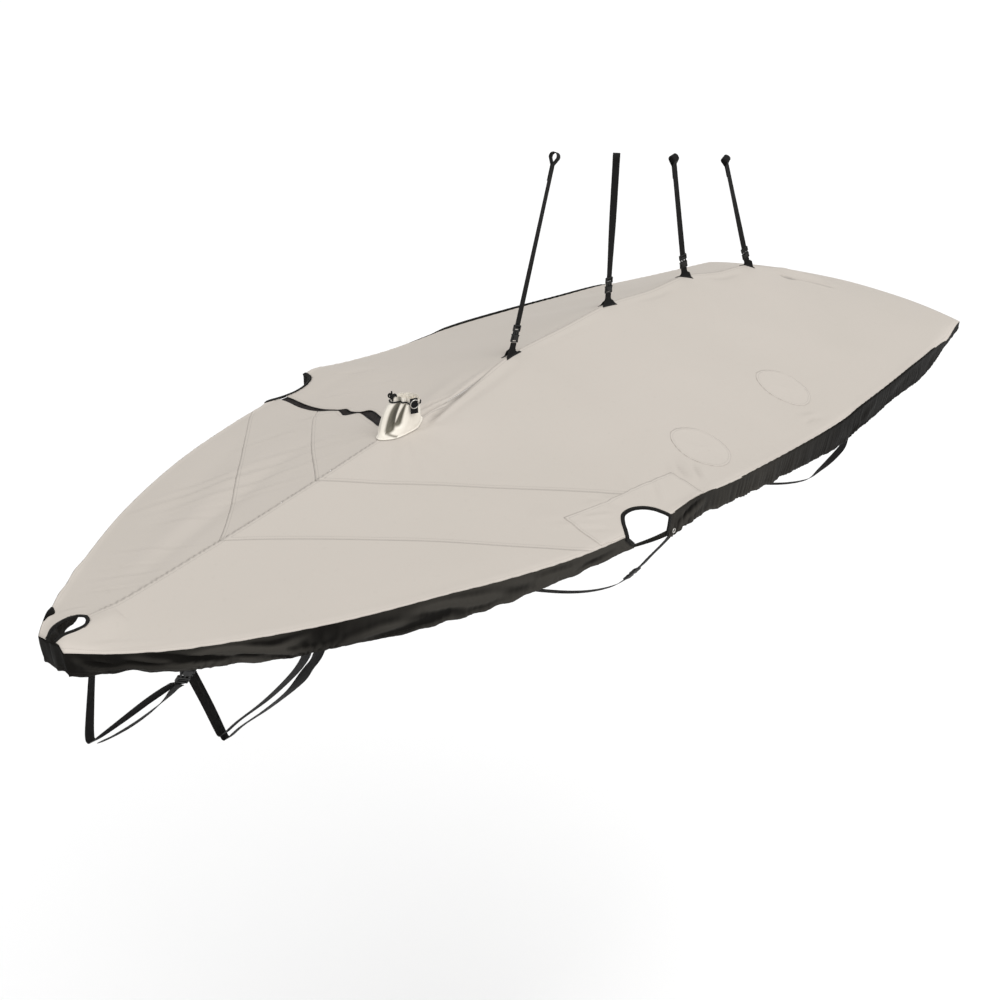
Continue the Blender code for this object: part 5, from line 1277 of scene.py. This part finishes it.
def skirt(name, node, side, line):
    """A run of skirt under a line of (aft, y) places along the gunwale."""
    line = np.array(line)
    run = run_along(line)
    along = np.linspace(0, run[-1], int(run[-1] / SKIRT_PITCH) + 1)
    line = pairs(*(np.interp(along, run, column) for column in line.T))
    aft, y = line.T
    ahead = unit(np.gradient(line, axis=0))
    outward = pairs(ahead[:, 1], -ahead[:, 0]) * -side
    depth, tuck = skirt_depth(aft, side), curve(SKIRT, aft, "tuck")
    calm = np.ones_like(aft)
    for strap in STRAP_AFTS:
        calm *= 1 - bell(aft - strap, 0.035, 4)
    swing = curve(GATHERS, aft, "wave")
    wave = gather_wave(along + (0.0 if side == 1 else 0.4)) * calm * swing
    hem = 0.6 * swing * np.sin(math.tau * along / 0.083 + 2.2 * np.sin(along / 0.19)) * calm
    at_slot = np.abs(y) < SLOT_MOUTH + 0.012
    lap = np.where(at_slot, 0.0, curve(RIMS[side], aft, "lap"))
    lapped = smooth_step((curve(RIMS[side], aft, "lap") - LAP_UNDER) / 0.002)
    top_z = cover_height(aft, y) + np.where(at_slot, -0.0041, rim(aft, side) - 0.0012 + 0.0022 * lapped)
    low_z = cover_height(aft, y) - depth
    share = np.linspace(0, 1, 17)[None, :]
    fit = np.minimum(depth / SHALLOW, 1.0)[:, None]
    relief = relief_of_skirt(along[:, None], aft[:, None], share, depth[:, None])
    push = 0.0013 - tuck[:, None] * share ** 2.0 + wave[:, None] * share * fit + relief
    from_bow = aft[0] < 0.1
    if from_bow and side < 0:
        push = push - 0.0016 * bell(along[:, None], 0.02, 4)
    level = top_z[:, None] + (low_z - top_z)[:, None] * share - hem[:, None] * fit * share ** 2
    slant = smooth_step((along - along[-1]) / 0.12 + 1) * HEM_SLANT * from_bow
    at = line[:, None] + outward[:, None] * push[..., None]
    at = at + ahead[:, None] * (slant[:, None] * share)[..., None]
    hanging = stack(at[..., 0], at[..., 1], level)

    # the seam allowance, lapped over the edge of the canvas
    lap = lap[:, None] * np.linspace(1, 0.12, 4)[None, :]
    at = line[:, None] - outward[:, None] * lap[..., None]
    over_by = (-CLOTH - 0.0006 + (CLOTH + 0.0024) * lapped)[:, None]
    over = np.where(at_slot[:, None], top_z[:, None], surface(at[..., 0], at[..., 1]) + over_by)
    top = np.concatenate((stack(at[..., 0], at[..., 1], over), hanging), axis=1)
    down = np.concatenate((-lap, depth[:, None] * share), axis=1)
    # painted light and shade: lighter or darker along the boat, lighter on fold ridges and darker in fold
    # valleys
    fade = curve(GATHERS, aft, "fade")[:, None]
    painted_light = np.concatenate((lap * 0, 0.75 * np.clip(relief / 0.0032, -1, 1) * (0.30 + fade)), axis=1)
    facing = np.stack(np.broadcast_arrays(-outward[:, None, 0], outward[:, None, 1], 0.2), axis=-1)
    marks = {"gap": depth[:, None] - down, "run": along[:, None], "fade": fade + painted_light}
    sew(name, node, top, SKIRT_CLOTH, hem_black, facing, pairs(along[:, None], down), marks,
        held="gathered")


def gunwale_line(side, start, end):
    aft = np.linspace(start, end, max(int((end - start) / 0.01), 8))
    return list(zip(aft, side * half_breadth(aft)))


for side, tag in SIDES:
    fore_end = SHROUD_OPENING[side][0].aft - 0.003
    aft_start = SHROUD_OPENING[side][-1].aft + 0.003
    nose = [(0.0, side * -0.004), (0.0, side * 0.030), (0.0, side * 0.044)]
    skirt(f"hem_skirt_fore_{tag}", f"skirt_fore_{tag}", side, nose + gunwale_line(side, 0.0, fore_end))
    skirt(f"hem_skirt_aft_{tag}", f"skirt_aft_{tag}", side, gunwale_line(side, aft_start, LENGTH - 0.004))

    # the elastic in its channel runs on across the shroud opening
    aft = np.linspace(fore_end + HEM_SLANT - 0.014, aft_start + 0.004, 44)[:, None]
    on = (aft - aft[0]) / (aft[-1] - aft[0])
    down = np.linspace(0, 1, 8)[None, :]
    depth, tuck = skirt_depth(aft, side), curve(SKIRT, aft, "tuck")
    pucker = 0.0010 * np.sin(math.tau * aft / 0.0095 + 2 * np.sin(aft * 40)) * np.sin(math.pi * down)
    y = half_breadth(aft) - tuck * 0.9 + pucker
    top_z = cover_height(aft, side * half_breadth(aft)) - 0.002 - depth + 0.015 + 0.014 * on ** 1.5
    top = stack(aft, side * y, top_z - (0.009 + 0.011 * on) * down)
    # a fixed level of the skirt's painted light and tone mark
    marks = {"gap": ELASTIC_WIDTH * (1 - down), "run": aft, "fade": 0.1}
    sew(f"hem_elastic_{tag}", f"hem_strip_{tag}", top, ELASTIC, hem_black, (0, side, 0),
        pairs(aft, down * ELASTIC_WIDTH), marks, held="gathered")

    # nickel eyelet rolled into the fore corner of the aft skirt
    low, high = (np.array(corner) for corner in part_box(f"eyelet_{tag}"))
    circle = full_turn(48)
    out = np.stack((np.cos(circle), circle * 0, np.sin(circle)), axis=-1)
    washer = [(EYELET_ROLL * math.cos(a) * (1.0 if math.cos(a) < 0 else 1.15), EYELET_ROLL * math.sin(a))
              for a in full_turn(14)]
    sweep(f"hem_eyelet_{tag}", (low + high) / 2 + EYELET_RADIUS * out, out,
          np.broadcast_to((0.0, 1.0, 0.0), out.shape), washer, nickel, f"eyelet_{tag}", closed=True)

# across the transom
across = np.linspace(-1, 1, 230)[:, None]
share = np.linspace(0, 1, 13)[None, :]
y = across * (float(half_breadth(LENGTH)) - 0.003)
depth = 0.030 + 0.048 * (1 - np.abs(across) ** 3)
free = 1 - np.abs(across) ** 8
push = (0.0055 * gather_wave(y + 3.0) * share - 0.010 * share ** 1.6) * free
push = push + relief_of_skirt(y + 3.0, 3.0 + y * 0.2, share, depth) * 0.9
top = stack(LENGTH - 0.0006 + push, y, cover_height(LENGTH, y) - 0.0015 - depth * share)
sew("hem_skirt_transom", "skirt_transom", top, SKIRT_CLOTH, hem_black, (-1, 0, 0),
    # a fixed level of the skirt's painted light and tone mark
    pairs(y, depth * share), {"gap": (1 - share) * depth, "run": y, "fade": 0.3}, held="gathered")


# ---- side-release buckles -----------------------------------------------------------------------
# Moulded black nylon buckles for 25 mm webbing: a hollow socket, two side catches and a centre
# prong pushed home in it, and a ladder of bars at the far end that grips the webbing.
BUCKLE_LENGTH = 0.058


def moulded_nylon():
    made, shader, wire = new_finish("moulded_nylon", 0.34, Specular_IOR_Level=0.3)
    place = wire.place()
    grain = wire.noise(place, 900.0, 2.0)
    rub = wire.noise(place, 60.0, 3.0)
    wire.mix(rub.band(0.4, 0.8), (0.006, 0.006, 0.006), (0.013, 0.013, 0.013)).feed(shader, "Base Color")
    (0.30 + rub * 0.22).feed(shader, "Roughness")
    (grain * 0.00012).emboss(shader, 0.35)
    return made


nylon = moulded_nylon()
# Moulded bars and plates in millimetres: middle and half size across and along, then half depth.
BUCKLE_BARS = table(
    "across half_across along half_along half_depth round_off",
    (0.0, 15.0, 1.8, 1.8, 3.2, 0.9), (14.4, 2.1, 5.2, 4.6, 3.8, 0.9), (-14.4, 2.1, 5.2, 4.6, 3.8, 0.9),
    (0.0, 15.6, 8.6, 1.6, 4.6, 0.9), (0.0, 12.2, 17.2, 9.2, 5.2, 1.5), (0.0, 16.2, 23.6, 2.8, 4.9, 1.2),
    (14.8, 2.1, 15.2, 5.6, 3.3, 1.5), (-14.8, 2.1, 15.2, 5.6, 3.3, 1.5), (0.0, 4.6, 16.6, 6.4, 5.6, 0.5),
    (10.8, 2.2, 31.0, 6.5, 3.4, 1.0), (-10.8, 2.2, 31.0, 6.5, 3.4, 1.0), (0.0, 3.0, 31.0, 6.5, 3.0, 0.9),
    (0.0, 15.8, 39.0, 2.6, 4.4, 1.1), (14.2, 2.2, 47.0, 9.8, 3.8, 1.1), (-14.2, 2.2, 47.0, 9.8, 3.8, 1.1),
    (0.0, 13.4, 47.2, 1.6, 3.0, 0.9), (0.0, 14.6, 55.4, 2.2, 3.3, 1.1)
)


def buckle(name, start, along, side, node):
    """Puts a closed buckle with its socket end at start, its width along side."""
    along, side = Vector(along).normalized(), Vector(side).normalized()
    place = Matrix((side, along, side.cross(along))).transposed().to_4x4()
    place = Matrix.Translation(Vector(start)) @ place @ Matrix.Scale(0.001, 4)
    points, faces = [], []
    for bar in BUCKLE_BARS:
        cut, deep = bar.round_off, bar.half_depth
        first = len(points)
        for level, inset in ((-deep, cut), (-deep + cut * 0.4, cut * 0.35), (-deep + cut, 0.0),
                             (deep - cut, 0.0), (deep - cut * 0.4, cut * 0.35), (deep, cut)):
            for quarter, (sx, sy) in enumerate(((1, 1), (-1, 1), (-1, -1), (1, -1))):
                for k in range(4):
                    turn_by = math.pi / 2 * (quarter + k / 3)
                    points.append(place @ Vector((
                        bar.across + sx * (bar.half_across - cut) + (cut - inset) * math.cos(turn_by),
                        bar.along + sy * (bar.half_along - cut) + (cut - inset) * math.sin(turn_by), level)))
        rings = np.arange(first, len(points)).reshape(6, 16)
        beside = np.roll(rings, -1, axis=1)
        sides = np.stack((rings[:-1], beside[:-1], beside[1:], rings[1:]), axis=-1).reshape(-1, 4)
        faces += sides.tolist() + [rings[0, ::-1].tolist(), rings[-1].tolist()]
    add_piece(name, points, faces, [len(face) == 4 for face in faces], nylon, node, None)


# ---- lifting straps -----------------------------------------------------------------------------
# Four webbing straps sewn to the ridge that hold the cover up from above. Each has a foot folded
# round a buckle's bar, its flared ends box-stitched to the canvas, and a sewn eye at its top.
FOOT = table(
    "y rise width",
    (0.0135, 0.0000, 0.074), (0.0070, 0.0035, 0.062), (0.0030, 0.0100, 0.036), (0.0022, 0.0180, 0.026),
    (0.0022, 0.0330, 0.025), (0.0012, 0.0352, 0.025), (0.0, 0.0360, 0.025)
)
EYE_ABOVE = 0.026        # middle of the sewn eye over the strap's top point
EYE_RADIUS = 0.014
EYE_LAP = 0.050          # webbing sewn back down behind it


def stitched_foot():
    """The same webbing opened out flat, with rows of stitches round its edges."""
    made, shader, wire = new_finish("stitched_foot", 0.66, Specular_IOR_Level=0.12)
    along, across = wire.cut_axes()
    ribs = along.cycles(0.0024)
    row = stitches(wire.mark("gap"), wire.mark("run"), 0.0028, 0.0030)
    tone = wire.mix(ribs.band(0.1, 0.9) * 0.4, (0.006, 0.006, 0.006), (0.016, 0.015, 0.015))
    wire.mix(row * 0.7, tone, (0.05, 0.048, 0.045)).feed(shader, "Base Color")
    height = ribs * 0.00015 - row * 0.0004 + across.cycles(0.0009) * 0.00005
    height.emboss(shader, 0.7)
    return made


def turned(along, by):
    """Width vectors of a strap that stands along a line, turned from the boat's length by radians."""
    lengthwise = unit(np.cross((0.0, 1.0, 0.0), along))
    by = np.asarray(by)[..., None]
    return lengthwise * np.cos(by) + np.cross(along, lengthwise) * np.sin(by)


foot_webbing = stitched_foot()
for strap in table("number aft top_aft top_z foot_turn top_turn",
                   (1, 1.727, 1.896, 0.895, -0.04, 0.12), (2, 2.277, 2.258, 0.848, -0.15, -1.01),
                   (3, 2.806, 2.643, 0.798, -0.35, -0.18), (4, 3.327, 3.039, 0.747, -0.35, -0.04)):
    base = stack(strap.aft, 0.0, curve(STATIONS, np.array(strap.aft), "ridge") + 0.001)
    top = stack(strap.top_aft, 0.0, strap.top_z)
    along = unit(top - base)
    width = turned(along, strap.foot_turn)
    through = np.cross(along, width)
    folded = [*FOOT, *((-y, rise, wide) for y, rise, wide in FOOT[-2::-1])]
    y, rise, wide = smooth_line(folded, 6).T[..., None]
    share = np.linspace(-1, 1, 13)
    at = base + along * rise[..., None] + width * (share * wide / 2)[..., None] + through * y[..., None]
    on_cover = surface(LENGTH / 2 - at[..., 0], at[..., 1]) + 0.0020
    low = smooth_step((0.008 - rise) / 0.005)
    at[..., 2] = np.maximum(at[..., 2] * (1 - low) + (on_cover + rise * 0.6) * low, on_cover)
    run = run_along(at[:, 6])[:, None]
    gap = np.minimum((1 - np.abs(share)) * wide / 2, np.minimum(run, run[-1] - run))
    sew(f"strap_foot_{strap.number}", f"lift_foot_{strap.number}", at, WEBBING, foot_webbing,
        at - (base + along * 0.012), pairs(run, share * wide / 2),
        {"gap": np.where(rise < 0.012, gap, 0.02), "run": run + share * 0.04})

    start = base + along * (FOOT[-1].rise + WEBBING / 2 + 0.0003)
    buckle(f"strap_buckle_{strap.number}", start, along, width, f"lift_buckle_{strap.number}")

    foot_at = start + along * (BUCKLE_LENGTH - 0.014)
    straight = float(np.linalg.norm(top - foot_at))
    twist = strap.top_turn - strap.foot_turn
    share = np.linspace(0, 1, 40 if abs(twist) > 0.5 else 24)
    path = [foot_at + along * (straight * k) for k in share]
    turns = list(strap.foot_turn + twist * smooth_step(1.15 * share))
    out = np.cross(along, turned(along, strap.top_turn))
    eye_at = foot_at + along * (straight + EYE_ABOVE)
    for a in np.radians(np.arange(-20, 201, 10)):
        path.append(eye_at + (out * math.cos(a) + along * math.sin(a)) * EYE_RADIUS)
    lap = foot_at + along * straight - out * (WEBBING + 0.0005)
    path += [lap - along * (EYE_LAP * k) for k in np.linspace(0, 1, 6)]
    turns += [strap.top_turn] * (len(path) - len(turns))
    strap_piece(f"strap_webbing_{strap.number}", np.array(path), turned(along, turns),
                f"lift_webbing_{strap.number}")


# ---- straps under the hull ----------------------------------------------------------------------
# Webbing that runs from the skirt's hem down round the boat and up to the other side. The foremost
# and the third close with a buckle on the port side; the foremost keeps a free tail.
HULL_STRAPS = {
    "1": table(
        "aft y z",
        (0.240, 0.214, -0.028), (0.236, 0.206, -0.060), (0.222, 0.180, -0.100), (0.198, 0.148, -0.132),
        (0.163, 0.113, -0.170), (0.115, 0.062, -0.230), (0.074, 0.016, -0.282), (0.068, 0.0, -0.294)
    ),
    "2_fore": table(
        "aft y z",
        (0.458, 0.377, -0.030), (0.464, 0.368, -0.068), (0.468, 0.312, -0.152), (0.468, 0.202, -0.285),
        (0.466, 0.080, -0.415), (0.464, 0.016, -0.490), (0.464, 0.0, -0.502)
    ),
    "2_aft": table(
        "aft y z",
        (0.496, 0.398, -0.030), (0.498, 0.378, -0.072), (0.501, 0.338, -0.136), (0.499, 0.268, -0.236),
        (0.492, 0.170, -0.346), (0.484, 0.070, -0.448), (0.479, 0.016, -0.512), (0.478, 0.0, -0.524)
    ),
    "3": table(
        "aft y z",
        (1.554, 0.762, 0.030), (1.548, 0.754, -0.016), (1.534, 0.706, -0.095), (1.524, 0.674, -0.145),
        (1.512, 0.600, -0.232), (1.503, 0.450, -0.312), (1.500, 0.220, -0.382), (1.500, 0.0, -0.410)
    ),
    "4": table(
        "aft y z",
        (2.774, 0.770, -0.030), (2.778, 0.764, -0.098), (2.780, 0.744, -0.152), (2.779, 0.688, -0.242),
        (2.774, 0.630, -0.308), (2.765, 0.480, -0.368), (2.760, 0.240, -0.412), (2.760, 0.0, -0.428)
    ),
}
BUCKLE_STEP = {"1": 1, "3": 3}      # row of the table where the strap's buckle starts
STEPS = 12                          # path points between two rows
STRAP_TURNS = {"2_aft": (1.45, 0.13, 0.055), "4": (1.15, 0.15, 0.075)}    # radians, where, how far along


def lying(path, twist):
    """Width vectors of a strap lying along the gunwale's line, turned by so many radians."""
    ahead = unit(np.gradient(path, axis=0))
    aft = LENGTH / 2 - path[:, 0]
    flare = (half_breadth(aft + 0.01) - half_breadth(aft - 0.01)) / 0.02
    across = np.stack((aft * 0 + 1, -flare * path[:, 1] / half_breadth(aft), aft * 0), axis=-1)
    across = unit(across - ahead * np.sum(across * ahead, axis=1, keepdims=True))
    twist = twist[:, None]
    return across * np.cos(twist) + np.cross(ahead, across) * np.sin(twist)


for key, rows in HULL_STRAPS.items():
    port = [(LENGTH / 2 - row.aft, row.y, row.z) for row in rows]
    path = smooth_line(port + [(x, -y, z) for x, y, z in reversed(port[:-1])], STEPS)
    turn_by, middle, reach = STRAP_TURNS.get(key, (0.0, 0.13, 0.055))
    side_way = lying(path, turn_by * bell(np.linspace(0, 1, len(path)) - middle, reach))
    if key not in BUCKLE_STEP:
        strap_piece(f"under_strap_{key}", path, side_way, f"hull_strap_{key}")
        continue
    first = BUCKLE_STEP[key] * STEPS
    ahead = unit(path[first + 4] - path[first])
    strap_piece(f"under_strap_{key}_top", path[:first + 1], side_way[:first + 1], f"hull_strap_{key}_top")
    start = path[first] + ahead * 0.0003
    buckle(f"under_buckle_{key}", start, ahead, side_way[first], f"hull_buckle_{key}")
    end = start + ahead * (BUCKLE_LENGTH - 0.010)
    beyond = np.linalg.norm(path - start, axis=1) > BUCKLE_LENGTH + 0.012
    after = first + int(np.argmax(beyond[first:]))
    rest = np.concatenate(([end, end + ahead * 0.012], path[after:]))
    strap_piece(f"under_strap_{key}", rest, np.concatenate((side_way[[first, first]], side_way[after:])),
                f"hull_strap_{key}")
    if key == "1":
        # the free tail hangs beside the strap
        out = np.cross(ahead, side_way[first])
        out = out if out[1] > 0 else -out
        share = np.linspace(0, 1, 45)
        swing = np.sin(math.pi * share)
        droop = 0.006 + 0.011 * swing
        beside = path[after:after + int(3.667 * STEPS) + 1]
        beside = beside[np.round(share * (len(beside) - 1)).astype(int)]
        tail = beside + np.stack((-0.004 - 0.010 * swing, droop, -droop), axis=-1)
        tail = np.concatenate(((end + ahead * 0.014 + out * 0.0040)[None], tail))
        tail = smooth_line(tail[::4], 4)
        twist = -0.9 * np.sin(math.pi * np.linspace(0, 1, len(tail)))
        strap_piece("under_strap_1_tail", tail, lying(tail, twist), "hull_strap_1_tail")


size_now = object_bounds()
str([[list(map(float, corner)) for corner in box] for box in (cad_box, size_now)])
